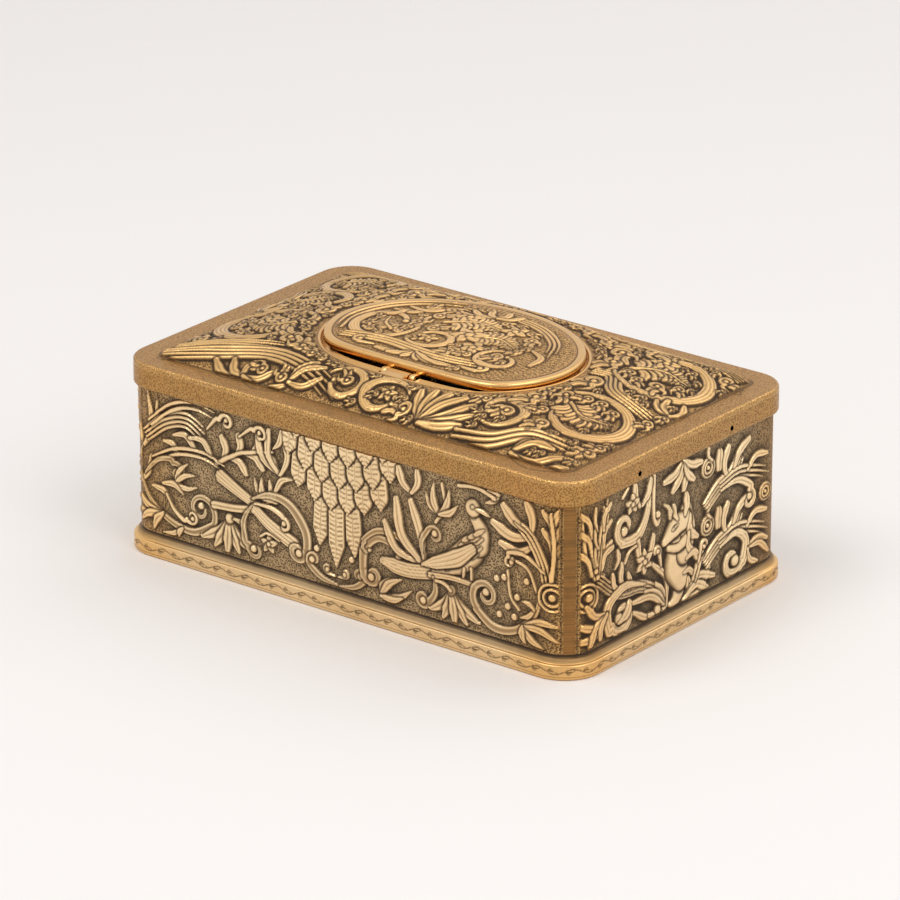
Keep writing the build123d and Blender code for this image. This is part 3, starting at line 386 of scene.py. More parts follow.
def acanthus(sheet, points, width, fingers=5, height=0.65):
    """A broad leaf of curled lobes along a spine, widest below its middle."""
    spine = through(*points)
    last = len(spine) - 1
    for step in range(fingers - 1, -1, -1):
        t = 0.12 + 0.78 * step / max(fingers - 1, 1)
        place = int(t * last)
        at = spine[place]
        heading = unit(spine[min(place + 3, last)] - spine[max(place - 3, 0)])
        size = width * (1.05 - 0.75 * t) * (0.75 + 0.25 * np.sin(np.pi * t))
        for side in (-1, 1):
            outward = side * np.array([-heading[1], heading[0]])
            for finger, (ahead, out) in enumerate(((1.0, 0.55), (0.62, 0.9), (0.12, 1.0))):
                tip = at + size * (ahead * heading * 0.9 + out * outward)
                lobe(sheet, at, tip, -side * 0.16, 0.25 * size + 0.06, height * (1 - 0.1 * finger))
    sheet.lay(spine, swell(len(spine), 0.5, 0.34, 0.14, 0.2), height * 1.15, rounded)


def blossom(sheet, at, radius, petals=5, height=0.6, turn=90.0):
    """An open flower of pointed petals round a bead."""
    for petal in range(petals):
        bearing = np.radians(turn + 360 * petal / petals)
        tip = (at[0] + radius * np.cos(bearing), at[1] + radius * np.sin(bearing))
        leaf(sheet, at, tip, 0.0, 0.36 * radius, height, veined)
    bead(sheet, at, 0.26 * radius, height * 1.2)


def rosette(sheet, at, radius):
    """A rosette of rings round an eye."""
    for share in (1.0, 0.62):
        path = orbit(at, share * radius, share * radius, np.linspace(0, 2 * np.pi, 80))
        sheet.lay(evenly(path), 0.3, 0.6, rounded)
    bead(sheet, at, 0.3 * radius, 0.72)


def pendant_flower(sheet, top, size, lean=0.0):
    """A bell flower that hangs open, its petals curling outwards."""
    x, y = top
    for share, curl in ((-1.0, -0.5), (1.0, 0.5), (-0.5, -0.22), (0.5, 0.22), (0.0, 0.0)):
        tip = (x + lean + share * size, y - size * (1.25 - 0.35 * abs(share)))
        middle = (x + 0.55 * lean + 0.42 * share * size, y - 0.55 * size)
        path = through(top, middle, tip, (tip[0] + curl, tip[1] + 0.35 * abs(curl)))
        sheet.lay(path, swell(len(path), 0.3, 0.2 * size, 0.22, 0.6), 0.6, veined)
    bead(sheet, top, 0.2 * size, 0.6)


# Meshes from grids of points
def strip_faces(rows, columns, closed_rows=False, closed_columns=False):
    """Quads between neighbouring points of a grid that is numbered row by row."""
    row, column = np.meshgrid(
        np.arange(rows if closed_rows else rows - 1),
        np.arange(columns if closed_columns else columns - 1),
        indexing="ij",
    )
    above, beside = (row + 1) % rows, (column + 1) % columns
    corners = [row * columns + column, row * columns + beside, above * columns + beside,
               above * columns + column]
    return np.stack(corners, -1).reshape(-1, 4)


def new_piece(name, points, faces, values=None):
    """A mesh from points in millimetres, with one number for each point under each name in values."""
    mesh = bpy.data.meshes.new(name)
    mesh.from_pydata((np.asarray(points) * MM).tolist(), [], faces)
    for key, numbers in (values or {}).items():
        numbers = np.asarray(numbers, np.float32).ravel()
        mesh.attributes.new(key, "FLOAT", "POINT").data.foreach_set("value", numbers)
    mesh.validate()
    piece = bpy.data.objects.new(name, mesh)
    bpy.context.collection.objects.link(piece)
    return piece


def at_height(plan, level):
    """Points of a plan at one height."""
    return np.column_stack([plan, np.full(len(plan), level)])


def smooth(piece, degrees=60.0):
    only(piece)
    bpy.ops.object.shade_smooth_by_angle(angle=math.radians(degrees))
    piece.select_set(False)


def only(piece):
    bpy.ops.object.select_all(action="DESELECT")
    piece.select_set(True)
    bpy.context.view_layer.objects.active = piece


def blurred(field, reach):
    """The mean of a field over a square of side 2 * reach + 1."""
    size = 2 * reach + 1
    for axis in (0, 1):
        padded = np.pad(field, [(reach + 1, reach) if a == axis else (0, 0) for a in (0, 1)], mode="edge")
        total = np.cumsum(padded, axis)
        upper = np.take(total, np.arange(size, padded.shape[axis]), axis)
        lower = np.take(total, np.arange(0, padded.shape[axis] - size), axis)
        field = (upper - lower) / size
    return field


def looks_of(sheet):
    """What the materials read: height, how deep a point lies among its neighbours, and bare ground."""
    heights = sheet.finished()
    wide = blurred(blurred(heights, 5), 5)
    # cavity stands in for the shade of recesses: it goes into hollow, which the gilding paints darker as
    # patina and painted shade.
    cavity = np.clip((wide - heights) / 0.5, 0, 1)
    # crest marks the ridges, which the gilding paints lighter as wear and painted highlight.
    crest = np.clip((heights - blurred(heights, 2)) / 0.12, 0, 1)
    hollow = np.clip(0.8 * sheet.shade + 0.55 * cavity, 0, 1)
    ground = 1 - blurred((sheet.worked > 0).astype(float), 1)
    return {"relief": heights, "hollow": hollow, "ground": ground, "crest": crest}


def sampled(field, sheet, x, y):
    """A sheet's field read between its points."""
    rows, columns = field.shape
    across = np.clip((x - sheet.low[0]) / sheet.pitch, 0, columns - 1.001)
    up = np.clip((y - sheet.low[1]) / sheet.pitch, 0, rows - 1.001)
    column, row = across.astype(int), up.astype(int)
    fx, fy = across - column, up - row
    lower = field[row, column] * (1 - fx) + field[row, column + 1] * fx
    upper = field[row + 1, column] * (1 - fx) + field[row + 1, column + 1] * fx
    return lower * (1 - fy) + upper * fy


def draped(sheet, rings, fade):
    """What the materials read at each point of rings over a sheet, times each row's fade."""
    looks = {}
    for key, field in looks_of(sheet).items():
        looks[key] = sampled(field, sheet, rings[..., 0], rings[..., 1]) * fade[:, None]
    return looks


# Outlines
def rounded_outline(half, corner, spacing):
    """Points and outward normals round a rounded rectangle, anticlockwise from the middle of +X."""
    flat = (half[0] - corner, half[1] - corner)
    quarter = math.pi / 2 * corner
    runs = [flat[1], quarter, 2 * flat[0], quarter, 2 * flat[1], quarter, 2 * flat[0], quarter, flat[1]]
    total = sum(runs)
    count = int(round(total / spacing / 4)) * 4
    way = np.arange(count) * total / count
    points, normals = np.zeros((count, 2)), np.zeros((count, 2))
    corners = [(flat[0], flat[1]), (-flat[0], flat[1]), (-flat[0], -flat[1]), (flat[0], -flat[1])]
    start, bearing = 0.0, 0.0
    at = np.array([half[0], 0.0])
    for number, run in enumerate(runs):
        inside = (way >= start - 1e-9) & (way < start + run)
        go = way[inside] - start
        if number % 2 == 0:
            heading = np.array([-math.sin(bearing), math.cos(bearing)])
            points[inside] = at + go[:, None] * heading
            normals[inside] = (math.cos(bearing), math.sin(bearing))
            at = at + run * heading
        else:
            centre = np.array(corners[number // 2])
            turn = bearing + go / corner
            normals[inside] = np.stack([np.cos(turn), np.sin(turn)], 1)
            points[inside] = centre + corner * normals[inside]
            bearing += math.pi / 2
            at = centre + corner * np.array([math.cos(bearing), math.sin(bearing)])
        start += run
    return points, normals, way, total


# Case walls
def wall_flat(face):
    """Half the length of a wall's flat part. Odd faces are the long ones."""
    return WALL_HALF[0 if face % 2 else 1] - WALL_CORNER


def wall_place(along, face):
    """Where a wall's outer surface is at a distance along it, and which way it looks.
    face is the quarter turns from +X anticlockwise. along grows to the right, seen from outside."""
    flat = wall_flat(face)
    away = WALL_HALF[1 if face % 2 else 0]
    turn = np.clip(np.abs(along) - flat, 0, None) / WALL_CORNER
    side = np.sign(along)
    right = side * (np.minimum(np.abs(along), flat) + WALL_CORNER * np.sin(turn))
    out = away - WALL_CORNER + WALL_CORNER * np.cos(turn)
    look_right, look_out = side * np.sin(turn), np.cos(turn)
    angle = face * math.pi / 2
    cosine, sine = math.cos(angle), math.sin(angle)
    place = np.stack([out * cosine - right * sine, out * sine + right * cosine], -1)
    look = np.stack([look_out * cosine - look_right * sine, look_out * sine + look_right * cosine], -1)
    return place, look


def wall_reach(face):
    """Half the length of a wall's outer surface, up to the middle of its corners."""
    return wall_flat(face) + WALL_CORNER * math.pi / 4


def wall_piece(name, sheet, face):
    """A wall with relief outside and a flat back, closed at its four edges."""
    looks = looks_of(sheet)
    rows, columns = sheet.heights.shape
    along = np.linspace(-wall_reach(face), wall_reach(face), columns)
    z = np.linspace(WALL_LOW, WALL_HIGH, rows)
    place, look = wall_place(along, face)
    out = looks["relief"][..., None]
    front = np.concatenate(
        [place[None] + look[None] * out, np.broadcast_to(z[:, None, None], (rows, columns, 1))], -1
    )
    inner = place - look * WALL_THICK
    back = np.stack([at_height(inner, level) for level in (z[0], z[-1])])
    points = np.concatenate([front.reshape(-1, 3), back.reshape(-1, 3)])
    faces = strip_faces(rows, columns).tolist()
    base = rows * columns
    for column in range(columns - 1):
        low, high = base + column, base + columns + column
        top = (rows - 1) * columns + column
        faces.append((low, high, high + 1, low + 1))
        faces.append((column, low, low + 1, column + 1))
        faces.append((top, top + 1, high + 1, high))
    left = [row * columns for row in range(rows)]
    right = [row * columns + columns - 1 for row in range(rows)]
    faces.append(left + [base + columns, base])
    faces.append(right[::-1] + [base + columns - 1, base + 2 * columns - 1])
    behind = np.zeros(2 * columns)
    values = {key: np.concatenate([field.ravel(), behind]) for key, field in looks.items()}
    piece = new_piece(name, points, faces, values)
    smooth(piece)
    return piece


# Swept rings: plinth and top frame
def ring_piece(name, rings, values, start, stop):
    """One sector of a ring whose section runs over the rings' rows, with flat ends, or the whole ring."""
    columns = rings.shape[1]
    whole = stop - start == columns
    picked = np.arange(start, stop if whole else stop + 1) % columns
    part = rings[:, picked]
    rows, count = part.shape[:2]
    faces = strip_faces(rows, count, closed_rows=True, closed_columns=whole).tolist()
    if not whole:
        faces.append([row * count for row in range(rows)])
        faces.append([row * count + count - 1 for row in range(rows)][::-1])
    piece = new_piece(name, part.reshape(-1, 3), faces,
                      {key: field[:, picked] for key, field in values.items()})
    smooth(piece)
    return piece


def surface_normals(rings):
    """Which way each point of the rings looks."""
    return unit(np.cross(np.roll(rings, -1, 1) - np.roll(rings, 1, 1), np.gradient(rings, axis=0)))


def laid_at(points, normals, inset, z):
    """Rows of a ring: one for each pair of inset and height."""
    return np.stack([at_height(points - normals * d, level) for d, level in zip(inset, z)])



def plinth_rings():
    """The plinth's whole section round the box: foot, engraved band, step, cove and the rebate inside."""
    points, normals, way, total = rounded_outline(BOX_HALF, PLINTH_CORNER, 0.2)
    outer = [(0.45, 0.0), (0.2, 0.08), (0.06, 0.22), (0.0, 0.45)]
    band = [(0.0, z) for z in np.linspace(0.6, 2.5, 12)]
    step = [(0.06, 2.62), (0.22, 2.74), (0.42, 2.78), (0.62, 2.82), (0.7, 2.95), (0.72, 3.15), (0.8, 3.4)]
    cove = [(0.95, 3.62), (1.12, 3.74), (1.3, 3.8), (1.38, 3.86), (1.42, 4.0), (1.42, PLINTH_TOP)]
    inner = [(2.75, PLINTH_TOP), (5.6, PLINTH_TOP), (5.6, 2.2), (2.6, 2.2), (2.6, 0.0)]
    rows = outer + band + step + cove + inner
    inset, z = np.array(rows).T
    rings = laid_at(points, normals, inset, z)
    sheet = Sheet((0, 0.35), (total, 2.85), 0.1)
    running_scroll(sheet, total)
    cut = np.minimum(sampled(sheet.finished(), sheet, way[None, :], z[:, None]), 0)
    cut = np.where((inset < 0.03)[:, None], cut, 0)
    rings = rings + 0.5 * at_height(normals, 0.0) * cut[..., None]
    # Engraved lines are painted darker: patina and painted shade.
    hollow = 0.62 * np.clip(-cut / 0.16, 0, 1)
    # The cove under the wall is painted darker towards its top, as painted shade.
    cove_shade = np.interp(z, [2.6, 2.9, 3.5, 4.1, 4.35], [0, 0.35, 0.45, 1.0, 1.0]) * (inset < 1.5)
    hollow = np.maximum(hollow, cove_shade[:, None])
    # The outer faces take the polished colour: polish and painted reflection.
    polish = np.broadcast_to(0.7 * (inset < 0.8)[:, None], cut.shape)
    values = {"relief": cut + 0.6, "hollow": hollow, "ground": np.zeros_like(cut), "polish": polish}
    return rings, values


def cut_oval(circle, half, chord):
    """Points of an oval whose near side is flattened softly towards y = -chord."""
    points = circle * half
    over = np.clip(-points[:, 1:] / chord, 0, None)
    return points * (1 + over ** 14) ** (-1 / 14)


def panel_height(share):
    """How high the raised panel is, from its foot at the border (0) to the collar (1)."""
    return FRAME_TOP + PANEL_RISE * (1 - (1 - share) ** 1.6)


def frame_rings(sheet):
    """The top frame's whole section round the box: side band, border, embossed panel, seat and underside."""
    points, normals, _, _ = rounded_outline(FRAME_HALF, FRAME_CORNER, FRAME_SPACING)
    edge = 0.55
    corner_turn = np.radians(np.linspace(0, 90, 6))
    side = [(0.35, FRAME_LOW), (0.12, FRAME_LOW + 0.08), (0.0, FRAME_LOW + 0.3)]
    side += [(0.0, z) for z in np.linspace(FRAME_LOW + 0.5, FRAME_TOP - edge - 0.15, 22)]
    side += [(edge * (1 - math.cos(a)), FRAME_TOP - edge * (1 - math.sin(a))) for a in corner_turn]
    border = [(d, FRAME_TOP) for d in np.linspace(edge + 0.2, BORDER - 0.15, 25)]
    inset, z = np.array(side + border).T
    outside = laid_at(points, normals, inset, z)
    foot = points - normals * BORDER
    bearing = np.arctan2(foot[:, 1] / FRAME_HALF[1], foot[:, 0] / FRAME_HALF[0])
    circle = np.stack([np.cos(bearing), np.sin(bearing)], 1)
    collar = cut_oval(circle, COLLAR_HALF, COLLAR_CHORD)
    shares = np.linspace(0, 1, 118) ** 0.92
    panel = [at_height(foot + (collar - foot) * share, panel_height(share)) for share in shares]
    mouth = [
        (0.1, COLLAR_Z + 0.09), (0.22, COLLAR_Z + 0.12), (0.38, COLLAR_Z + 0.09),
        (0.55, COLLAR_Z), (0.65, COLLAR_Z - 0.14), (0.68, SEAT_Z + 0.02),
    ]
    inside = []
    for d, level in mouth:
        half = (COLLAR_HALF[0] - d, COLLAR_HALF[1] - d)
        inside.append(at_height(cut_oval(circle, half, COLLAR_CHORD - d), level))
    edge_of_seat, throat = inside[-1][:, :2], cut_oval(circle, THROAT_HALF, THROAT_CHORD)
    beside_lugs = np.abs(throat[:, 0]) > LUG_NOTCH[0]
    notch = np.where(throat[:, 1] < 0, -LUG_NOTCH[1], throat[:, 1])
    throat[:, 1] = np.where(beside_lugs, throat[:, 1], notch)
    for share, drop in ((0.06, 0.55), (0.16, 0.82), (0.5, 0.66), (0.8, 0.4), (1.0, 0.2), (1.0, 1.3)):
        inside.append(at_height(edge_of_seat + (throat - edge_of_seat) * share, SEAT_Z - drop))
    under = []
    for share in (0.75, 0.5, 0.25, 0.0):
        flat = foot - normals * 0.4 + (throat - foot + normals * 0.4) * share
        under.append(at_height(flat, panel_height(share) - FRAME_SKIN))
    low = laid_at(points, normals, [FRAME_SIDE, FRAME_SIDE], [FRAME_TOP - FRAME_SKIN, FRAME_LOW])
    rings = np.concatenate([outside, np.array(panel), np.array(inside), np.array(under), low])
    worked_rows = len(outside) + len(panel)
    fade = np.ones(rings.shape[0])
    fade[: len(side)] = 0
    fade[worked_rows:] = 0
    fade[len(outside):worked_rows] = np.clip(np.minimum(shares / 0.02, (1 - shares) / 0.015), 0, 1)
    normal = surface_normals(rings)
    values = draped(sheet, rings, fade)
    values["ground"][: len(outside)] = 0.5
    # The whole panel is painted a little darker.
    values["hollow"][len(outside):worked_rows] += 0.19
    # A painted highlight along the side band's rounded top edge.
    values["crest"][len(side) - 8:len(side) - 1] = 1.0
    # A dark line where the border meets the panel's foot: patina and painted shade.
    values["hollow"][len(outside) - 1:len(outside) + 2] = 0.6
    rings = rings + normal * (values["relief"] * (fade > 0)[:, None])[..., None]
    values["polish"] = np.zeros(rings.shape[:2])
    # The mouth, seat and throat take the polished colour: polish, and painted light on the seat, which lies
    # in the lid's shade.
    values["polish"][worked_rows:worked_rows + len(inside)] = 1.0
    return rings, values


# Lid
def boundary(bearing, half, chord):
    """How far an oval, cut straight at chord, reaches from its centre along each bearing."""
    oval = 1 / np.sqrt((np.cos(bearing) / half[0]) ** 2 + (np.sin(bearing) / half[1]) ** 2)
    down = np.minimum(np.sin(bearing), -1e-6)
    straight = np.where(np.sin(bearing) < -1e-6, chord / down, 1e9)
    rounding = 13
    return (oval ** -rounding + straight ** -rounding) ** (-1 / rounding)


def lid_rings(sheet, scale):
    """The lid's rows from the middle of its dome, over its rolled rim, to the middle of its underside."""
    bearing = np.linspace(0, 2 * np.pi, LID_COLUMNS, endpoint=False) - math.pi / 2
    heading = np.stack([np.cos(bearing), np.sin(bearing)], 1)

    def reach_at(inset):
        return boundary(bearing, (LID_HALF[0] - inset, LID_HALF[1] - inset), CHORD_Y + inset)

    def row(reach, level):
        return at_height(heading * reach[:, None], level)

    dome, dish = reach_at(LID_RIM), reach_at(LID_DISH)
    lip = reach_at(0.0) - dome
    shares = np.linspace(0.012, 1.0, 92) ** 0.8
    rows = [row(dome * share, LID_TOP + 0.12 + DOME_RISE * (1 - share ** 2.4)) for share in shares]
    roll = [(0.05, 0.0), (0.16, 0.02), (0.4, 0.06), (0.66, 0.05), (0.82, -0.02), (0.93, -0.14),
            (0.985, -0.32)]
    edge = [(share, LID_TOP + 0.08 + rise) for share, rise in roll]
    edge += [(1.0, LID_TOP - 0.5), (1.0, LID_LOW + 0.3), (0.93, LID_LOW + 0.06), (0.8, LID_LOW)]
    rows += [row(dome + lip * share, level) for share, level in edge]
    for share in (1.0, 0.97, 0.9, 0.8, 0.6, 0.4, 0.2, 0.05):
        rows.append(row(dish * share, LID_LOW + 1.35 * (1 - share ** 3)))
    rings = np.array(rows)
    plain = len(rows) - len(shares)
    fade = np.concatenate([np.clip((1 - shares) / 0.02, 0, 1), np.zeros(plain)])
    values = draped(sheet, rings, fade)
    rings[..., 2] += scale * values["relief"]
    values["polish"] = np.zeros(rings.shape[:2])
    # The rim and the underside take the polished colour: polish and painted reflection.
    values["polish"][-plain:] = 1.0
    # A dark ring where the dome meets the rim: patina and painted shade.
    values["hollow"][len(shares) - 1:len(shares) + 1] = 0.75
    return rings, values


def lid_piece(sheet, scale):
    """The lid as one closed piece."""
    rings, values = lid_rings(sheet, scale)
    rows, count = rings.shape[:2]
    # Rows run outwards from the middle, anticlockwise, so the upper side looks up when turned over
    faces = strip_faces(rows, count, closed_columns=True)[:, ::-1].tolist()
    top = rows * count
    centre = rings[[0, -1]].mean(1)
    points = np.concatenate([rings.reshape(-1, 3), centre])
    for column in range(count):
        beside = (column + 1) % count
        faces.append((top, column, beside))
        faces.append((top + 1, (rows - 1) * count + beside, (rows - 1) * count + column))
    ends = {key: np.concatenate([field.ravel(), field[[0, -1], 0]]) for key, field in values.items()}
    piece = new_piece("lid_chased", points, faces, ends)
    smooth(piece)
    return piece


# Ornament made of the strokes above
def curl(sheet, at, size, bearing, hand, height=0.6):
    """A small volute with a tail and two leaves, for a gap of a given size."""
    at = np.array(at, float)
    ahead = np.array([math.cos(bearing), math.sin(bearing)])
    beside = hand * np.array([-ahead[1], ahead[0]])

    def spot(forward, side):
        return tuple(at + size * (forward * ahead + side * beside))

    lobes(sheet, height, (spot(-0.1, -0.3), spot(-0.5, 0.5), -0.2 * hand, 0.19 * size),
          (spot(-0.2, -0.3), spot(-0.95, 0.22), -0.2 * hand, 0.17 * size))
    section = ribbed(2) if size > 2.4 else rounded
    scroll(sheet, [spot(-0.85, -0.25), spot(-0.3, -0.44)], spot(0.16, 0.1), 0.44 * size, 1.1 * hand,
           0.17 * size + 0.08, 0.16 * size, height, section, 0.08)


def fill(sheet, inside, sizes, seed, bearing_at, height=0.6):
    """Puts small curls wherever the ground is still bare, the largest first."""
    tries = 4000
    random = np.random.default_rng(seed)
    gx, gy = sheet.grid()
    free = inside & (sheet.worked == 0)
    for size in sizes:
        reach = max(int(0.62 * size / sheet.pitch), 1)
        open_share = blurred(free.astype(float), reach)
        rows, columns = np.nonzero(open_share > 0.9)
        order = random.permutation(len(rows))
        for number in order[:tries]:
            row, column = rows[number], columns[number]
            part = free[max(row - reach, 0):row + reach + 1, max(column - reach, 0):column + reach + 1]
            if part.mean() < 0.88:
                continue
            at = (gx[row, column], gy[row, column])
            hand = 1 if random.random() < 0.5 else -1
            curl(sheet, at, size, bearing_at(*at) + random.uniform(-0.5, 0.5), hand, height)
            free = inside & (sheet.worked == 0)


def grooves(sheet, points, lines, width, height=0.6, spread=0.6, taper=0.15):
    """Parallel ridges that run together and spread at the end, like a combed leaf."""
    spine = through(*points)
    count = len(spine)
    way = np.linspace(0, 1, count)
    for line in range(lines):
        lane = (line - (lines - 1) / 2) / max(lines - 1, 1)
        offset = lane * width * 2 * (0.7 + 0.6 * spread * way)
        path = side_points(spine, offset)
        cut = int(count * (1 - 0.18 * abs(lane)))
        ridge = width / lines * 1.15
        sheet.lay(path[:cut], swell(cut, 0.55 * ridge, ridge, taper, 0.5), height, rounded)


def feather(sheet, base, tip, width, height):
    """A pointed feather from its quill to its tip."""
    path = through(base, tip)
    way = np.linspace(0, 1, len(path))
    widths = width * np.interp(way, [0, 0.3, 0.66, 1.0], [0.85, 1.0, 1.0, 0.05])
    barbs = max(math.dist(base, tip) / 0.85, 2.0)
    sheet.lay(path, widths, height, barbed(barbs), keep=0.1, groove=0.3)


def feather_bundle(sheet, cx, low, high):
    """The hanging bundle of overlapping feathers, the lowest laid first."""
    for x, top, tip in ((-4.4, 21.5, low + 3.4), (3.4, 21.0, low + 3.0), (-0.7, 22.0, low)):
        feather(sheet, (cx + 0.85 * x, top), (cx + x, tip), 1.9, 0.74)
    rows = 3
    for row in range(rows):
        count = 7 if row % 2 else 6
        for number in range(count):
            x = (number - (count - 1) / 2) * (3.7 + 0.1 * row)
            tip = low + 10.6 + (high - low - 10.6) * row / (rows - 1) + 0.03 * x * x
            feather(sheet, (cx + 0.9 * x, tip + 8.0), (cx + x, tip), 2.05, 0.74)


def berries(sheet, spots, radius):
    for spot in spots:
        bead(sheet, spot, radius, 0.7)


def limb(sheet, points, ways, widths, height=0.95, section=rounded, keep=0.1):
    """A full form along a curve, its half width given at a few places on the way."""
    path = through(*points)
    sheet.lay(path, np.interp(np.linspace(0, 1, len(path)), ways, widths), height, section, keep)


def songbird(sheet):
    """The small bird on a branch, its long tail combed to the left."""
    limb(sheet, [(26.0, 15.8), (20.5, 13.2), (14.4, 11.9), (9.0, 12.3)], [0, 0.4, 0.85, 1],
         [1.3, 1.5, 1.55, 0.8], 0.85, ribbed(5))
    limb(sheet, [(20.5, 13.6), (25.5, 16.6), (29.8, 20.5)], [0, 0.45, 0.8, 1], [0.9, 2.6, 2.9, 1.8],
         section=furred)
    limb(sheet, [(30.0, 20.5), (30.6, 23.0), (29.2, 25.2), (28.6, 27.0)], [0, 0.3, 0.7, 1],
         [2.2, 1.7, 1.15, 1.2], keep=0.25)
    bead(sheet, (28.7, 27.0), 1.75, 1.0)
    leaf(sheet, (29.6, 27.2), (32.4, 26.3), 0.0, 0.55, 0.8, rounded)
    bead(sheet, (28.9, 27.4), 0.36, 1.35)
    for row in range(6):
        for number in range(5 - row // 2):
            x = 23.4 + 1.3 * number + 0.75 * row
            z = 14.6 + 0.85 * number + 1.25 * row
            lobe(sheet, (x + 1.5, z + 1.1), (x - 0.5, z - 0.3), 0.0, 0.52, 0.5)
    limb(sheet, [(28.6, 19.4), (25.4, 17.0), (21.4, 15.2), (17.8, 13.9)], [0, 0.35, 0.75, 1],
         [1.1, 1.8, 1.3, 0.3], 0.95, ribbed(4))
    stem(sheet, (27.0, 15.5), (26.6, 13.6), width=0.32)
    stem(sheet, (28.4, 15.8), (28.4, 13.6), width=0.32)


def long_side(sheet):
    """Scrolls, leaves, the feather bundle and the bird on its branch."""
    # Left end
    fan(sheet, (-45.2, 20.6), [(-48.0, 28.4), (-46.4, 31.0), (-44.2, 31.4), (-42.0, 30.4)], 0.75)
    grooves(sheet, [(-44.6, 22.8), (-40.0, 26.4), (-35.2, 27.6), (-30.8, 25.4)], 4, 1.5, 0.78, 0.4)
    grooves(sheet, [(-43.6, 25.4), (-38.6, 29.4), (-33.0, 30.8), (-27.2, 29.6)], 2, 0.75, 0.65, 0.2)
    for base, tip in (((-38.4, 24.2), (-33.4, 22.8)), ((-34.6, 24.6), (-29.6, 22.2)),
                      ((-40.6, 22.6), (-37.4, 20.6))):
        lobe(sheet, base, tip, 0.25, 0.75, 0.7)
    lobes(sheet, 0.75, ((-27.0, 22.2), (-27.2, 26.6), -0.2, 0.9), ((-23.8, 24.0), (-23.4, 27.8), -0.2, 0.9),
          ((-20.4, 25.2), (-18.6, 28.6), -0.15, 0.9), ((-25.4, 23.0), (-21.6, 20.8), 0.2, 0.9),
          ((-21.8, 24.6), (-17.8, 22.6), 0.2, 0.9), ((-18.6, 25.6), (-14.8, 23.8), 0.2, 0.9))
    stem(sheet, (-28.4, 21.2), (-22.8, 24.5), (-15.6, 26.4), width=0.55, end=0.3, height=0.75)
    spray(sheet, (-13.8, 22.4), [(-19.0, 28.8), (-16.4, 30.4), (-13.4, 30.2)], 0.8)
    scroll(sheet, [(-30.5, 27.2), (-28.4, 29.6)], (-26.0, 29.4), 1.7, -1.2, 0.55, 0.5, 0.65, rounded)
    scroll(sheet, [(-23.0, 27.6), (-20.5, 29.6)], (-18.2, 29.0), 1.6, -1.1, 0.5, 0.5, 0.65, rounded)
    grooves(sheet, [(-43.6, 18.2), (-37.6, 21.2), (-31.0, 21.8), (-25.0, 19.8)], 2, 0.75, 0.68, 0.1)
    fan(sheet, (-46.2, 13.4), [(-48.0, 19.5), (-46.0, 20.2), (-43.6, 19.4)], 0.7)
    scroll(sheet, [(-45.0, 15.5), (-42.0, 18.6), (-39.0, 19.4)], (-37.6, 17.0), 2.0, -1.25, 0.62, 0.6, 0.7)
    fan(sheet, (-38.0, 15.0), [(-35.0, 19.5), (-33.2, 17.6), (-33.0, 15.4)], 0.6)
    leaf(sheet, (-41.0, 14.4), (-36.0, 13.2), 0.18, 0.75)
    leaf(sheet, (-43.4, 13.4), (-38.6, 11.0), 0.15, 0.7)
    scroll(sheet, [(-46.8, 16.0), (-44.0, 10.8), (-39.4, 7.6), (-34.0, 6.7), (-29.6, 9.0)], (-32.2, 11.4),
           3.7, 1.35, 0.8, 0.75, 0.8)
    scroll(sheet, [(-40.0, 12.6), (-38.4, 10.0), (-36.2, 8.4)], (-34.2, 9.6), 1.6, 1.2, 0.5, 0.5, 0.65,
           rounded)
    fan(sheet, (-41.0, 8.6), [(-47.6, 11.8), (-47.8, 8.6), (-46.8, 5.8), (-43.2, 5.0)], 0.85)
    fan(sheet, (-36.4, 6.9), [(-41.2, 5.0), (-37.4, 4.9)], 0.6)
    # Pendant flower and its joints
    stem(sheet, (-29.0, 13.2), (-24.6, 13.6), (-20.4, 14.4), width=0.85, section=ribbed(2), height=0.65)
    pendant_flower(sheet, (-25.6, 11.4), 5.4, -0.6)
    leaf(sheet, (-24.6, 11.6), (-21.6, 9.4), 0.2, 0.6)
    stem(sheet, (-27.4, 18.9), (-24.2, 17.4), (-20.4, 15.8), width=1.45, end=1.0, section=ribbed(4),
         height=0.75)
    stem(sheet, (-19.8, 14.8), (-16.2, 12.4), (-11.0, 10.2), width=1.1, end=1.5, section=ribbed(4),
         height=0.75)
    scroll(sheet, [(-20.4, 15.2), (-22.3, 12.0), (-22.0, 8.2)], (-19.6, 6.8), 1.7, 1.0, 0.72, 0.75, 0.75)
    # Cup of petals over the joint
    fan(sheet, (-16.9, 16.4), [(-19.8, 20.6), (-18.1, 21.2), (-16.4, 21.3), (-14.8, 20.6)], 0.72)
    stem(sheet, (-18.8, 17.4), (-15.0, 17.2), width=0.6)
    leaf(sheet, (-15.0, 19.0), (-10.8, 22.4), 0.2, 0.7)
    scroll(sheet, [(-20.2, 16.6), (-16.0, 18.2), (-11.6, 17.2), (-8.3, 13.4), (-7.9, 9.8)], (-10.2, 9.2),
           2.1, -1.15, 1.15, 0.8, 0.85)
    scroll(sheet, [(-19.6, 15.8), (-16.0, 15.8), (-13.4, 14.8)], (-13.0, 13.2), 1.3, -1.0, 0.6, 0.6, 0.75,
           rounded)
    blossom(sheet, (-16.6, 8.8), 1.9, 5)
    stem(sheet, (-18.6, 9.8), (-16.8, 10.8), (-14.2, 10.0), width=0.3)
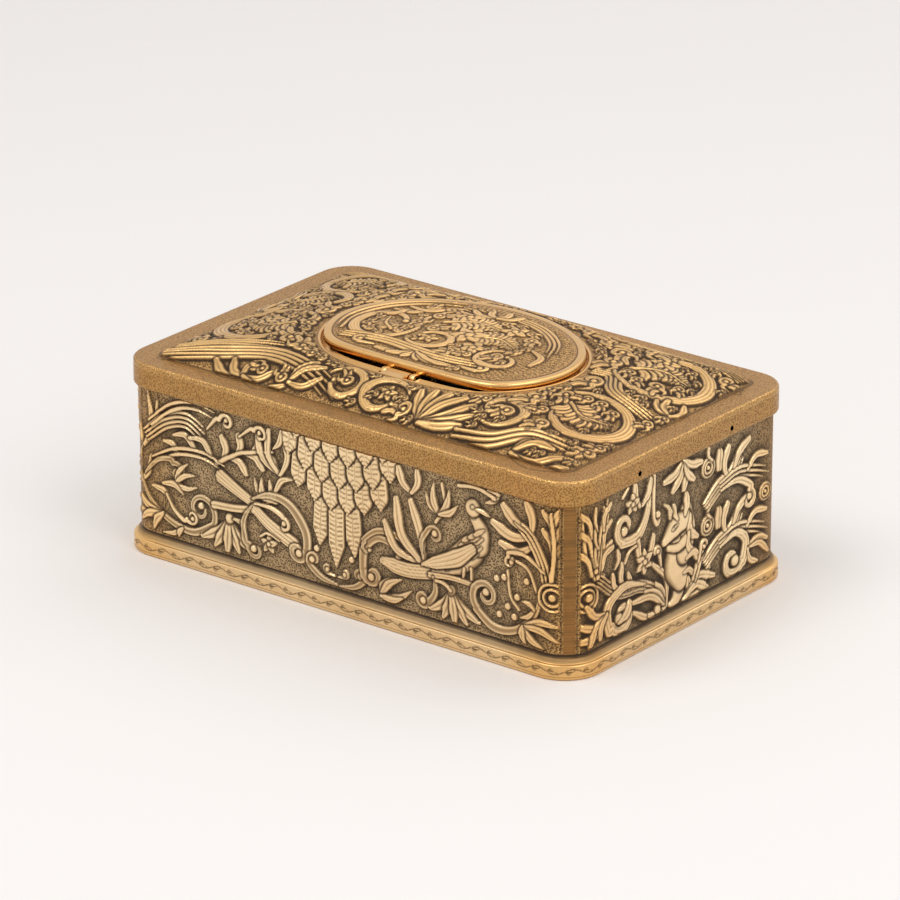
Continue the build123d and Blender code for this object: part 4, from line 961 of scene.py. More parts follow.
    # Feather bundle on its double volute
    scroll(sheet, [(-0.4, 4.9), (-4.6, 5.6), (-7.4, 7.4)], (-6.4, 8.6), 1.4, -1.1, 0.75, 0.7, 0.8)
    scroll(sheet, [(-0.6, 4.9), (2.6, 5.6), (4.6, 7.0)], (3.6, 8.0), 1.3, 1.1, 0.7, 0.65, 0.8)
    scroll(sheet, [(-1.6, 6.6), (-3.2, 6.8)], (-3.4, 7.8), 0.9, -1.0, 0.42, 0.5, 0.7, rounded)
    scroll(sheet, [(-1.0, 6.6), (0.4, 6.8)], (0.6, 7.7), 0.9, 1.0, 0.42, 0.5, 0.7, rounded)
    bead(sheet, (-5.8, 10.8), 0.7)
    bead(sheet, (2.0, 10.6), 0.7)
    feather_bundle(sheet, -0.6, 8.2, 27.6)
    # Middle to right
    scroll(sheet, [(12.6, 13.4), (11.4, 15.4), (8.0, 16.2), (5.0, 13.6), (4.6, 9.8)], (6.8, 9.0), 2.2, 1.2,
           1.0, 0.8, 0.85)
    bead(sheet, (12.4, 13.6), 0.75)
    scroll(sheet, [(15.8, 13.6), (12.6, 17.4), (8.0, 17.6), (4.9, 15.4)], (5.6, 13.8), 1.2, 0.6, 0.7, 0.4,
           0.75)
    lobe(sheet, (17.2, 13.8), (9.4, 19.8), 0.2, 0.9, 0.75)
    lobes(sheet, 0.8, ((17.8, 13.9), (12.0, 24.6), 0.16, 1.15), ((18.2, 14.4), (15.2, 25.0), -0.04, 1.05))
    scroll(sheet, [(18.0, 15.0), (17.6, 18.0), (18.8, 20.4)], (20.4, 19.8), 1.7, -1.2, 0.62, 0.7, 0.75)
    songbird(sheet)
    stem(sheet, (19.6, 12.4), (24.0, 12.9), (29.4, 12.8), width=0.65, end=0.5, section=ribbed(2))
    scroll(sheet, [(20.2, 12.2), (20.6, 9.6), (19.6, 7.6)], (17.8, 7.6), 1.7, -1.2, 0.85, 0.75, 0.8)
    fan(sheet, (8.6, 5.6), [(10.4, 9.4), (13.2, 9.8), (15.4, 8.2), (13.6, 6.4)], 0.85)
    pendant_flower(sheet, (24.0, 10.6), 5.0, 0.8)
    stem(sheet, (20.8, 11.6), (22.4, 11.4), (24.0, 10.6), width=0.4)
    scroll(sheet, [(43.4, 16.2), (42.2, 11.0), (38.2, 7.0), (33.4, 6.2), (29.6, 8.6)], (31.6, 11.6), 3.4,
           -1.4, 0.95, 0.8, 0.85)
    fan(sheet, (39.4, 8.0), [(47.4, 9.2), (47.0, 6.2), (44.0, 4.8), (40.0, 4.8)], 0.8)
    fan(sheet, (42.0, 11.6), [(38.8, 9.4), (39.2, 12.6)], 0.55)
    stem(sheet, (42.4, 15.0), (40.6, 18.6), (37.4, 19.8), width=0.34)
    stem(sheet, (36.2, 17.4), (36.8, 13.0), (38.6, 10.8), width=0.34)
    berries(sheet,
            [(37.0, 19.6), (35.4, 16.0), (33.8, 15.4), (38.2, 13.0), (36.2, 10.8), (34.4, 8.9), (37.6, 9.2),
             (40.2, 16.4)], 0.72)
    lobes(sheet, 0.8,
          ((41.8, 23.4), (34.6, 22.2), 0.2, 1.0), ((41.2, 24.6), (33.0, 25.6), 0.14, 1.15),
          ((40.8, 25.6), (35.2, 29.2), 0.1, 1.15), ((41.4, 25.6), (40.2, 30.9), -0.1, 1.05),
          ((45.6, 21.0), (47.6, 24.6), 0.15, 0.8), ((45.7, 24.0), (47.6, 27.8), 0.15, 0.8),
          ((45.6, 26.6), (46.9, 30.9), 0.1, 0.75), ((45.4, 22.4), (43.6, 26.8), -0.15, 0.7),
          ((45.4, 25.6), (43.6, 30.2), -0.15, 0.7))
    grooves(sheet, [(44.6, 16.8), (43.6, 20.6), (41.0, 24.8), (37.8, 26.8)], 3, 1.0, 0.85, 0.2)
    stem(sheet, (45.3, 17.6), (45.8, 24.0), (45.2, 30.0), width=0.5, end=0.3, height=0.8)
    scroll(sheet, [(44.0, 19.0), (39.6, 21.2), (36.4, 20.8)], (36.6, 19.0), 1.1, 0.8, 0.5, 0.5, 0.7, rounded)
    rosette(sheet, (45.4, 14.6), 2.5)
    stem(sheet, (20.6, 22.4), (22.6, 25.6), (22.0, 29.8), width=0.4)
    fan(sheet, (21.4, 24.0), [(18.4, 27.4), (20.2, 29.8), (23.6, 29.2), (25.4, 26.6)], 0.75)
    fan(sheet, (34.4, 30.8), [(31.2, 28.6), (31.6, 31.0)], 0.6)
    lobes(sheet, 0.65, ((15.4, 26.4), (12.6, 30.6), 0.15, 0.95), ((15.4, 26.4), (16.6, 31.0), -0.15, 0.85))
    stem(sheet, (25.6, 30.4), (29.4, 30.9), (33.4, 29.9), width=0.45)
    leaf(sheet, (-13.6, 30.9), (-15.6, 26.9), 0.15, 0.7)


def squirrel(sheet):
    """A plain squirrel sitting up, its tail curled under it."""
    limb(sheet, [(-1.0, 11.0), (-0.6, 8.0), (-2.0, 5.6), (-3.6, 5.4)], [0, 0.4, 0.8, 1],
         [2.4, 1.8, 1.3, 0.5], section=furred)
    limb(sheet, [(-0.4, 9.0), (-1.7, 12.4), (-1.2, 15.6)], [0, 0.5, 1], [2.2, 3.6, 2.7], section=furred)
    limb(sheet, [(0.6, 14.0), (1.7, 17.6), (1.0, 21.6)], [0, 0.5, 1], [2.6, 2.2, 1.7], section=furred)
    limb(sheet, [(0.8, 19.9), (-2.0, 19.5), (-5.3, 17.5)], [0, 0.45, 1], [2.0, 2.25, 0.85], keep=0.0)
    lobes(sheet, 0.85, ((-1.8, 20.8), (-2.6, 23.6), 0.1, 0.75), ((0.4, 21.0), (1.0, 24.6), -0.1, 0.95))
    leaf(sheet, (-3.4, 19.3), (-1.7, 19.9), 0.0, 0.42, 1.25, rounded)
    bead(sheet, (-2.5, 19.6), 0.26, 1.4)
    limb(sheet, [(1.0, 16.2), (-1.4, 15.4), (-4.0, 16.0)], [0, 0.5, 1], [1.3, 1.0, 0.7], keep=0.0)
    lobe(sheet, (2.0, 20.6), (4.4, 15.6), -0.25, 0.95, 0.85)
    lobes(sheet, 0.8, ((1.6, 17.4), (4.0, 12.8), -0.25, 0.85), ((1.0, 12.6), (5.0, 11.0), 0.3, 0.95))
    lobe(sheet, (0.2, 10.2), (3.4, 8.8), 0.2, 0.7, 0.7)


def short_side(sheet):
    """Branches of curled leaves on both sides of a squirrel."""
    # Tall leaves by the near corner
    grooves(sheet, [(-24.6, 17.2), (-26.6, 22.0), (-27.4, 30.6)], 2, 0.75, 0.7, 0.2)
    grooves(sheet, [(-24.0, 17.6), (-23.2, 24.0), (-21.6, 31.0)], 3, 0.95, 0.75, 0.2)
    for z, reach in ((20.6, 3.0), (24.4, 2.6), (27.6, 2.2)):
        lobes(sheet, 0.65, ((-26.0, z - 2.6), (-27.2 - reach * 0.6, z + 2.4), -0.15, 0.62),
              ((-24.4, z - 1.8), (-24.9, z + 2.6), 0.1, 0.5),
              ((-22.8, z - 2.2), (-21.4 + reach * 0.35, z + 2.2), 0.22, 0.62))
    lobe(sheet, (-23.2, 18.4), (-20.0, 21.6), 0.25, 0.8)
    rosette(sheet, (-26.8, 14.2), 2.5)
    bead(sheet, (-26.4, 14.2), 0.9)
    berries(sheet, [(-24.3, 17.3), (-23.4, 15.9), (-24.8, 18.6), (-22.7, 17.0)], 0.62)
    # Lower branch
    grooves(sheet, [(-24.0, 16.6), (-18.4, 12.6), (-12.0, 11.6), (-7.4, 9.0), (-4.4, 5.0)], 4, 1.35, 0.78,
            -0.05)
    for base, tip in (((-17.6, 12.8), (-20.0, 16.4)), ((-15.4, 12.2), (-17.4, 17.6)),
                      ((-12.4, 12.4), (-15.6, 15.2))):
        lobe(sheet, base, tip, 0.22, 0.72, 0.72)
    scroll(sheet, [(-11.0, 11.8), (-16.8, 13.2), (-21.4, 10.8), (-21.0, 6.4)], (-17.2, 8.0), 3.3, 1.0, 1.3,
           1.25, 0.85, ribbed(3))
    lobe(sheet, (-18.4, 7.0), (-15.2, 9.8), -0.2, 1.1, 0.8)
    spray(sheet, (-21.6, 9.8), [(-27.0, 12.6), (-28.6, 9.2), (-28.8, 6.2), (-26.2, 4.9), (-23.4, 5.6)], 0.85)
    spray(sheet, (-4.8, 5.4), [(-7.6, 10.6), (-10.8, 10.2), (-14.2, 9.2), (-13.8, 7.2), (-9.6, 5.4)], 0.8,
          bend=-0.14)
    lobe(sheet, (-4.4, 5.4), (-8.6, 14.6), -0.2, 0.75)
    bead(sheet, (-7.0, 5.6), 1.0, 0.7)
    # Hanging scroll and flowers
    scroll(sheet, [(-10.0, 31.0), (-10.2, 25.4), (-12.8, 21.4), (-17.2, 21.2)], (-16.8, 24.2), 2.7, -1.0,
           1.15, 1.0, 0.8, ribbed(3))
    stem(sheet, (-8.4, 31.0), (-8.4, 24.2), (-7.4, 21.6), (-6.6, 23.2), width=0.55)
    bead(sheet, (-7.2, 23.4), 0.75)
    for x, z in ((-12.4, 26.4), (-11.4, 15.6)):
        lobes(sheet, 0.75, ((x, z), (x - 1.5, z + 4.8), 0.1, 0.85),
              ((x + 0.6, z), (x + 3.0, z + 4.4), -0.1, 0.8))
    blossom(sheet, (-11.0, 15.8), 2.4, 6, 0.75)
    blossom(sheet, (-14.6, 27.6), 1.9, 5, 0.7)
    scroll(sheet, [(-6.2, 13.6), (-6.6, 15.6)], (-7.6, 16.6), 1.2, 1.1, 0.5, 0.55, 0.75, rounded)
    stem(sheet, (-16.6, 17.4), (-15.4, 19.0), (-13.6, 19.6), width=0.36)
    stem(sheet, (-17.4, 29.6), (-15.8, 31.0), width=0.36)
    lobe(sheet, (-19.4, 17.2), (-18.6, 20.4), -0.2, 0.6)
    squirrel(sheet)
    spray(sheet, (0.2, 31.2), [(-5.4, 28.6), (-3.0, 26.2), (0.2, 25.6), (3.2, 26.6), (5.4, 29.2)], 0.95,
          0.75, 0.12)
    lobe(sheet, (-5.4, 24.6), (-3.6, 21.4), 0.2, 0.6, 0.65)
    # Foot leaves and rosettes on the right
    spray(sheet, (0.4, 4.9), [(1.8, 8.6), (4.6, 9.6), (8.0, 8.8), (9.6, 6.6), (7.6, 5.0)], 0.95, bend=-0.24)
    grooves(sheet, [(3.4, 7.6), (5.2, 10.8), (7.4, 12.4)], 2, 0.65, 0.7, 0.1)
    scroll(sheet, [(4.6, 10.6), (5.4, 12.8)], (6.6, 13.4), 1.2, -0.9, 0.5, 0.5, 0.7, rounded)
    for z in (16.6, 27.4):
        rosette(sheet, (7.4, z), 1.7)
        limb(sheet, [(10.6, z - 1.0), (10.8, z + 1.8)], [0, 0.5, 1], [0.9, 1.25, 0.9], 0.7, veined)
        lobe(sheet, (8.4, z + 1.0), (7.6, z + 4.0), 0.2, 0.5)
    # Two broad curled leaves
    for lift in (0.0, 10.6):
        grooves(sheet, [(6.6, 9.6 + lift), (10.4, 12.2 + lift), (14.6, 13.6 + lift), (17.4, 17.4 + lift)],
                4, 1.5, 0.8, 0.3)
        lobe(sheet, (12.6, 13.6 + lift), (13.4, 19.0 + lift), 0.16, 0.95, 0.8)
        lobe(sheet, (14.6, 14.0 + lift), (19.6, 18.6 + lift), 0.12, 0.9, 0.75)
        grooves(sheet, [(10.8, 12.2 + lift), (16.0, 13.2 + lift), (20.6, 12.2 + lift), (25.6, 10.4 + lift)],
                3, 1.1, 0.75, 0.3)
        lobe(sheet, (19.0, 12.8 + lift), (25.0, 14.2 + lift), 0.2, 0.75, 0.7)
    scroll(sheet, [(11.0, 11.4), (15.6, 12.6), (18.8, 10.4), (18.2, 6.6)], (14.8, 7.6), 3.1, -1.0, 1.25,
           1.2, 0.85, ribbed(3))
    scroll(sheet, [(11.0, 22.0), (16.0, 22.4), (20.0, 20.4)], (19.6, 17.6), 1.9, -1.0, 0.9, 0.8, 0.8,
           ribbed(2))
    spray(sheet, (19.4, 8.4), [(25.4, 8.6), (25.8, 6.0), (22.6, 4.9)], 0.75)
    rosette(sheet, (24.6, 17.6), 1.5)


def engraved(sheet, line, width, depth, groove=0.05):
    """Cuts a long thin line in pieces that overlap a little."""
    for start in range(0, len(line), LINE_CHUNK):
        sheet.lay(line[start:start + LINE_CHUNK + 4], width, depth, rounded, keep=1.0, groove=groove)


def running_scroll(sheet, total):
    """The engraved wave of leaves round the plinth's band, between two lines."""
    waves = int(round(total / 6.4))
    length = total / waves
    middle, swing = 1.6, 0.48
    way = np.arange(0, total + 0.09, 0.09)
    wave = np.stack([way, middle + swing * np.sin(2 * np.pi * way / length)], 1)
    engraved(sheet, wave, 0.13, -0.3)
    for number in range(waves):
        for half, side in ((0.0, 1), (0.5, -1)):
            x = (number + half) * length
            for reach, rise, bend in ((1.9, 0.62, 0.25), (1.35, 0.12, 0.3), (2.5, 0.8, 0.15)):
                base = np.array((x + 0.2, middle + 0.1 * side))
                tip = np.array((x + reach, middle + side * (rise - 0.55)))
                path = through(base, (base + tip) / 2 + (0, -side * bend), tip, spacing=0.08)
                sheet.lay(path, swell(len(path), 0.05, 0.12, 0.04), -0.28, rounded, keep=1.0, groove=0.05)
    for level in (0.62, 2.46):
        engraved(sheet, np.stack([way, np.full(len(way), level)], 1), 0.09, -0.22, 0.04)


def corner_strips(sheet, face):
    """Plain brushed ends of a wall's sheet, with a thin seam between them and the relief."""
    gx, gy = sheet.grid()
    edge = wall_flat(face) + STRIP_START
    share = np.clip((edge - np.abs(gx)) / 0.25, 0, 1)
    sheet.heights *= share
    sheet.shade *= share
    sheet.worked *= share > 0
    seam = np.exp(-(((np.abs(gx) - edge - 0.35) / 0.16) ** 2))
    sheet.heights -= 0.16 * seam
    sheet.shade = np.maximum(sheet.shade, 0.7 * seam)
    plain = np.abs(gx) > edge + 0.7
    sheet.worked = np.where(plain, 1.0, sheet.worked)
    streaks = np.random.default_rng(3).uniform(0.25, 0.62, len(gy))[:, None]
    sheet.shade = np.where(plain, streaks, sheet.shade)
    sheet.heights *= np.clip(np.minimum((gy - WALL_LOW - 0.35) / 0.3, (FRAME_LOW - gy - 0.1) / 0.3), 0, 1)


def slide_pad(sheet):
    """A flat field with a narrow slot, where the start slide travels on the front wall."""
    gx, gy = sheet.grid()
    west, east, low, high = SLIDE_WAY

    def away(margin):
        side = np.maximum(-east - gx, gx + west) + margin
        return np.maximum(side, np.maximum(low - gy, gy - high) + margin)

    outside = away(0.0)
    sheet.heights *= np.clip(outside / 0.5, 0, 1)
    sheet.shade *= np.clip(outside / 0.5, 0, 1)
    sheet.worked = np.where(outside < 0.3, 0.0, sheet.worked)
    sheet.heights += 0.3 * np.exp(-(((outside - 0.2) / 0.22) ** 2))
    slot = np.maximum(np.abs(gx + SLIDE_SLOT[0]) - SLIDE_SLOT[1], np.abs(gy - SLIDE_SLOT[2]) - SLIDE_SLOT[3])
    sheet.heights = np.where(slot < 0, -0.9, sheet.heights)
    # The slot is painted dark all through, as painted shade in its depth.
    sheet.shade = np.where(slot < 0.15, 1.0, sheet.shade)


def wall_sheet(face):
    """A wall's ornament, darker on bare ground. The west end is mirrored, the front has the slide's slot."""
    reach = wall_reach(face)
    sheet = Sheet((-reach, WALL_LOW), (reach, WALL_HIGH))
    if face % 2:
        long_side(sheet)
    else:
        short_side(sheet)
    if face == 2:
        mirrored(sheet)
    if face == 1:
        slide_pad(sheet)
    # Bare ground is painted darker: more on the short walls, and most near the relief, as painted shade.
    near = blurred(blurred(sheet.worked, 5), 5)
    darkening = (0.24 if face % 2 else 0.52) + 0.6 * near
    sheet.shade = np.maximum(sheet.shade, darkening * (sheet.worked == 0))
    corner_strips(sheet, face)
    return sheet


def mirrored(sheet):
    """Turns a sheet's ornament left to right."""
    for key in ("heights", "worked", "shade"):
        setattr(sheet, key, getattr(sheet, key)[:, ::-1].copy())


def oval_share(x, y, half):
    """How far out a place lies in an oval: 1 on its outline."""
    return np.sqrt((x / half[0]) ** 2 + (y / half[1]) ** 2)


def round_the_oval(x, y):
    """The way that ornament runs round the lid at a place."""
    return math.atan2(y / COLLAR_HALF[1], x / COLLAR_HALF[0]) + math.pi / 2


def top_sheet():
    """Ring cartouches filled with leaves at the corners, sprays and volutes between them."""
    panel = (FRAME_HALF[0] - BORDER, FRAME_HALF[1] - BORDER)
    sheet = Sheet((-FRAME_HALF[0], -FRAME_HALF[1]), FRAME_HALF)
    # West end, from the near corner to the far one
    cartouche(sheet, (-34.4, -9.2), (9.4, 7.8), 40, 330, 1.6)
    acanthus(sheet, [(-29.6, -7.8), (-33.4, -10.2), (-38.4, -9.0)], 4.2, 4, 0.85)
    blossom(sheet, (-36.2, -7.2), 3.0, 6, 0.85)
    cartouche(sheet, (-36.2, 5.6), (6.6, 5.6), 250, -320, 1.25)
    acanthus(sheet, [(-38.8, 3.4), (-36.0, 5.2), (-33.2, 8.0)], 3.4, 4, 0.85)
    cartouche(sheet, (-34.4, 18.4), (8.6, 6.2), 300, -320, 1.4)
    acanthus(sheet, [(-39.6, 17.4), (-35.2, 18.8), (-30.4, 17.0)], 3.8, 4, 0.85)
    grooves(sheet, [(-44.4, 24.8), (-36.0, 26.4), (-27.0, 25.2), (-19.6, 21.4)], 4, 1.3, 0.75, 0.2)
    grooves(sheet, [(-44.4, 12.4), (-42.6, 8.0), (-43.4, 1.4)], 3, 1.1, 0.75, 0.2)
    spray(sheet, (-43.0, -1.0), [(-45.2, 3.4), (-42.6, 4.6), (-40.4, 3.2), (-39.6, 0.4)], 0.9)
    # Near edge
    grooves(sheet, [(-44.6, -26.6), (-34.0, -23.4), (-24.0, -20.8), (-14.0, -22.6), (-4.6, -26.6)], 4, 1.9,
            0.85, 0.1)
    grooves(sheet, [(-44.6, -22.6), (-38.0, -20.4), (-30.0, -18.8), (-22.6, -17.4)], 3, 1.3, 0.75, 0.2)
    spray(sheet, (-26.0, -26.8),
          [(-33.4, -25.2), (-30.0, -24.2), (-25.6, -23.6), (-20.4, -24.4), (-17.0, -26.6)], 0.9)
    cartouche(sheet, (-6.4, -22.8), (3.9, 3.0), 160, -330, 0.95)
    spray(sheet, (-16.6, -25.8), [(-14.0, -20.4), (-11.8, -21.2), (-10.8, -23.6)], 0.85)
    cartouche(sheet, (3.2, -23.0), (4.4, 3.3), 20, 330, 1.05)
    blossom(sheet, (3.4, -22.8), 1.8, 5, 0.8)
    tips = [(8.8, -20.2), (11.4, -19.2), (14.4, -18.6), (17.4, -18.6), (20.0, -19.8), (21.4, -22.2),
            (20.6, -24.8)]
    spray(sheet, (12.6, -26.4), tips, 1.0, 0.8, 0.06)
    cartouche(sheet, (25.0, -18.8), (4.2, 3.9), 250, 330, 1.15)
    grooves(sheet, [(20.6, -26.8), (28.0, -25.6), (34.0, -22.0), (44.6, -20.4)], 3, 1.7, 0.85, 0.2)
    spray(sheet, (33.0, -26.8), [(36.0, -23.6), (39.6, -23.4), (43.0, -24.0), (44.8, -26.4)], 0.9)
    # East end
    cartouche(sheet, (36.0, -9.6), (7.7, 7.4), 150, -330, 1.5)
    acanthus(sheet, [(32.0, -8.4), (36.0, -10.8), (40.6, -9.4)], 4.6, 5, 0.9)
    grooves(sheet, [(26.8, 5.0), (30.4, 5.6), (34.0, 1.4), (39.0, 0.0), (45.2, -1.2)], 4, 1.7, 0.85, 0.1)
    cartouche(sheet, (35.4, 13.4), (8.4, 8.2), 215, 325, 1.5)
    acanthus(sheet, [(30.4, 11.0), (34.6, 14.6), (40.0, 14.2)], 4.8, 5, 0.9)
    blossom(sheet, (33.0, 18.0), 2.8, 6, 0.85)
    spray(sheet, (44.6, 3.0), [(40.2, 5.2), (41.4, 7.0), (44.0, 8.2)], 0.8)
    grooves(sheet, [(44.6, 24.6), (36.0, 25.8), (27.0, 24.6), (19.0, 21.6)], 4, 1.3, 0.75, 0.2)
    # Far edge
    for side in (-1, 1):
        scroll(sheet, [(side * 17.4, 25.6), (side * 9.6, 26.2), (side * 3.4, 25.6)], (side * 4.4, 23.8),
               1.7, side * 1.0, 0.85, 0.7, 0.75, ribbed(2))
        spray(sheet, (side * 11.0, 26.0), [(side * 8.0, 22.8), (side * 10.6, 22.2), (side * 13.4, 22.0)],
              0.75)
    gx, gy = sheet.grid()
    clear = 0.25
    chord = np.minimum(gy, 0) > -COLLAR_CHORD
    beyond = (oval_share(gx, gy, COLLAR_HALF) > 1.02) | ~chord
    inside = (np.abs(gx) < panel[0] - clear) & (np.abs(gy) < panel[1] - clear) & beyond
    fill(sheet, inside, (4.4, 3.4, 2.6, 2.0, 1.5), 11, round_the_oval, 0.72)
    field = (np.abs(gx) < panel[0] - 0.1) & (np.abs(gy) < panel[1] - 0.1)
    sheet.heights *= field
    sheet.worked *= field
    return sheet


def ray_ground(sheet, inside):
    """Fine engraved rays on the lid's bare ground."""
    gx, gy = sheet.grid()
    bearing = np.arctan2(gy, gx * 0.9)
    lines = np.cos(bearing * 120) * np.clip((oval_share(gx, gy, LID_HALF) - 0.35) / 0.2, 0, 1)
    bare = (sheet.worked == 0) & inside
    sheet.heights += np.where(bare, 0.07 * lines, 0)
    # The rays' grooves are painted darker: patina and painted shade.
    sheet.shade = np.where(bare, np.maximum(sheet.shade, 0.45 * np.clip(-lines, 0, 1)), sheet.shade)


def lid_sheet():
    """A bouquet among curled leaves, on a ground of engraved rays."""
    dome = (LID_HALF[0] - LID_RIM, LID_HALF[1] - LID_RIM)
    sheet = Sheet((-LID_HALF[0], -LID_HALF[1]), LID_HALF, 0.14)
    # Leaves that sweep round the west end
    grooves(sheet, [(-20.4, -7.4), (-21.8, -1.0), (-19.8, 6.4), (-14.0, 12.2), (-6.0, 15.6)], 2, 1.0, 0.75,
            0.1)
    cartouche(sheet, (-13.8, -1.2), (5.8, 6.6), 20, -330, 1.15, 0.8)
    acanthus(sheet, [(-11.6, -3.2), (-14.2, -1.4), (-15.6, 1.8)], 2.6, 4, 0.8)
    for start, tip in (((-17.8, 5.6), (-12.0, 8.6)), ((-16.2, 8.2), (-9.6, 10.8)),
                       ((-19.0, 2.2), (-15.4, 6.2))):
        lobe(sheet, start, tip, -0.25, 0.8, 0.75)
    # Near side: arcs and leaves over the straight edge
    grooves(sheet, [(-17.6, -9.4), (-9.0, -8.0), (0.0, -8.8), (8.0, -8.4), (16.6, -6.4)], 3, 1.3, 0.8, 0.1)
    spray(sheet, (-1.0, -9.4),
          [(-8.6, -11.4), (-5.6, -11.8), (-2.4, -11.9), (1.0, -11.9), (4.4, -11.6), (7.4, -10.9)], 0.75,
          0.7, 0.1)
    scroll(sheet, [(-9.6, -10.6), (-12.6, -11.0)], (-13.4, -9.6), 1.3, -1.0, 0.6, 0.55, 0.7, rounded)
    scroll(sheet, [(8.6, -10.2), (12.4, -10.2)], (12.8, -8.6), 1.4, 1.0, 0.65, 0.6, 0.7, rounded)
    cartouche(sheet, (-3.4, -3.0), (4.2, 3.6), 200, 330, 0.9, 0.8)
    blossom(sheet, (-3.4, -3.0), 1.9, 5, 0.85)
    # Bouquet
    acanthus(sheet, [(-6.0, 5.0), (-1.0, 8.2), (4.6, 7.4)], 4.4, 5, 0.9)
    acanthus(sheet, [(2.4, 1.8), (7.0, 3.8), (12.0, 1.8)], 3.8, 5, 0.9)
    blossom(sheet, (1.6, 2.4), 3.6, 6, 0.95)
    blossom(sheet, (-4.0, 9.8), 2.8, 6, 0.9)
    blossom(sheet, (5.8, -2.2), 2.7, 5, 0.9)
    blossom(sheet, (6.8, 8.8), 2.6, 5, 0.9, 60)
    # Far side and the east end
    grooves(sheet, [(2.0, 14.8), (9.6, 13.0), (15.6, 8.6), (18.6, 2.6)], 3, 1.1, 0.75, 0.1)
    spray(sheet, (0.0, 12.4), [(-6.0, 13.6), (-3.0, 15.4), (0.2, 16.2), (3.6, 15.6)], 0.8)
    cartouche(sheet, (12.4, -3.6), (3.8, 3.6), 100, 320, 0.9, 0.8)
    lobe(sheet, (14.6, 3.4), (18.6, -2.6), 0.25, 0.8)
    gx, gy = sheet.grid()
    inside = (oval_share(gx, gy, dome) < 0.97) & (gy > CHORD_Y + LID_RIM + 0.3)
    centre = inside & (oval_share(gx, gy, dome) < 0.9) & (gx < 15.0)
    fill(sheet, centre, (3.0, 2.2, 1.6), 5, round_the_oval, 0.65)
    ray_ground(sheet, inside)
    sheet.heights *= inside
    return sheet


# Materials
def node_sum(operation, swapped=False):
    """A method of Term that adds a maths node for an operation."""
    def method(self, other):
        return self.maths(operation, *((other, self) if swapped else (self, other)))

    return method


class Term:
    """A number, colour or vector in a node tree. Sums on numbers add the nodes that work them out."""

    def __init__(self, nodes, socket):
        self.nodes = nodes
        self.socket = socket

    def maths(self, operation, *values):
        return self.nodes.node("ShaderNodeMath", {"operation": operation}, dict(enumerate(values)))

    __add__, __radd__ = node_sum("ADD"), node_sum("ADD", True)
    __sub__, __rsub__ = node_sum("SUBTRACT"), node_sum("SUBTRACT", True)
    __mul__, __rmul__ = node_sum("MULTIPLY"), node_sum("MULTIPLY", True)
    __truediv__ = node_sum("DIVIDE")

    def held(self, low=0.0, high=1.0):
        return self.maths("MAXIMUM", self.maths("MINIMUM", self, high), low)

    def between(self, low, high):
        """0 under low and 1 over high."""
        return ((self - low) / (high - low)).held()


class Nodes:
    """The node tree of a material or a world."""

    def __init__(self, owner):
        owner.use_nodes = True
        self.owner = owner
        self.tree = owner.node_tree

    def node(self, kind, settings=None, values=None, output=0):
        """Adds a node. settings are its own options, set first, and values fill its sockets."""
        node = self.tree.nodes.new(kind)
        for key, value in (settings or {}).items():
            setattr(node, key, value)
        for key, value in (values or {}).items():
            self.join(value, node.inputs[key])
        return Term(self, node.outputs[output])

    def join(self, value, socket):
        if isinstance(value, Term):
            self.tree.links.new(value.socket, socket)
        elif socket.type == "RGBA":
            socket.default_value = (*value, 1.0)
        else:
            socket.default_value = value

    def mix(self, share, first, second, blend="MIX"):
        settings = {"data_type": "RGBA", "blend_type": blend}
        return self.node("ShaderNodeMix", settings, {0: share, 6: first, 7: second}, 2)


class Finish(Nodes):
    """One material and the nodes that make it."""

    def __init__(self, name):
        super().__init__(bpy.data.materials.new(name))
        self.surface = self.tree.nodes["Principled BSDF"]

    def attribute(self, name):
        return self.node("ShaderNodeAttribute", {"attribute_name": name}, output="Fac")

    def places(self):
        return self.node("ShaderNodeTexCoord", output="Object")

    def along(self, axis):
        """The distance from the middle of the box along an axis, in metres."""
        place = self.node("ShaderNodeSeparateXYZ", None, {0: self.places()}, axis)
        return place.maths("ABSOLUTE", place)

    def mapped(self, scale, turn=(0.0, 0.0, 0.0)):
        return self.node("ShaderNodeMapping", None,
                         {"Vector": self.places(), "Scale": scale, "Rotation": turn})

    def noise(self, scale, detail=3.0, roughness=0.5, at=None):
        values = {"Vector": at or self.places(), "Scale": scale, "Detail": detail, "Roughness": roughness}
        return self.node("ShaderNodeTexNoise", None, values, "Fac")

    def cells(self, scale, at=None, feature="F1"):
        values = {"Vector": at or self.places(), "Scale": scale}
        return self.node("ShaderNodeTexVoronoi", {"feature": feature}, values, "Distance")

    def ramp(self, share, stops):
        """Colours that change at places along a share."""
        colours = self.node("ShaderNodeValToRGB", None, {"Fac": share})
        elements = colours.socket.node.color_ramp.elements
        while len(elements) < len(stops):
            elements.new(1.0)
        for element, (place, colour) in zip(elements, stops):
            element.position = place
            element.color = (*colour, 1.0)
        return colours

    def bump(self, height, distance, strength):
        return self.node("ShaderNodeBump", None,
                         {"Height": height, "Distance": distance, "Strength": strength})

    def give(self, **values):
        """Fills the surface's sockets, named with underscores for spaces."""
        for key, value in values.items():
            self.join(value, self.surface.inputs[key.replace("_", " ")])
        return self.owner


# Where the amber tint sets in, in metres: over the top, on the plinth and towards the corners
TINT_TOP = (0.0312, 0.0322)
TINT_FOOT = (0.0046, 0.0042)
TINT_ENDS = ((0.034, 0.047), (0.018, 0.028))


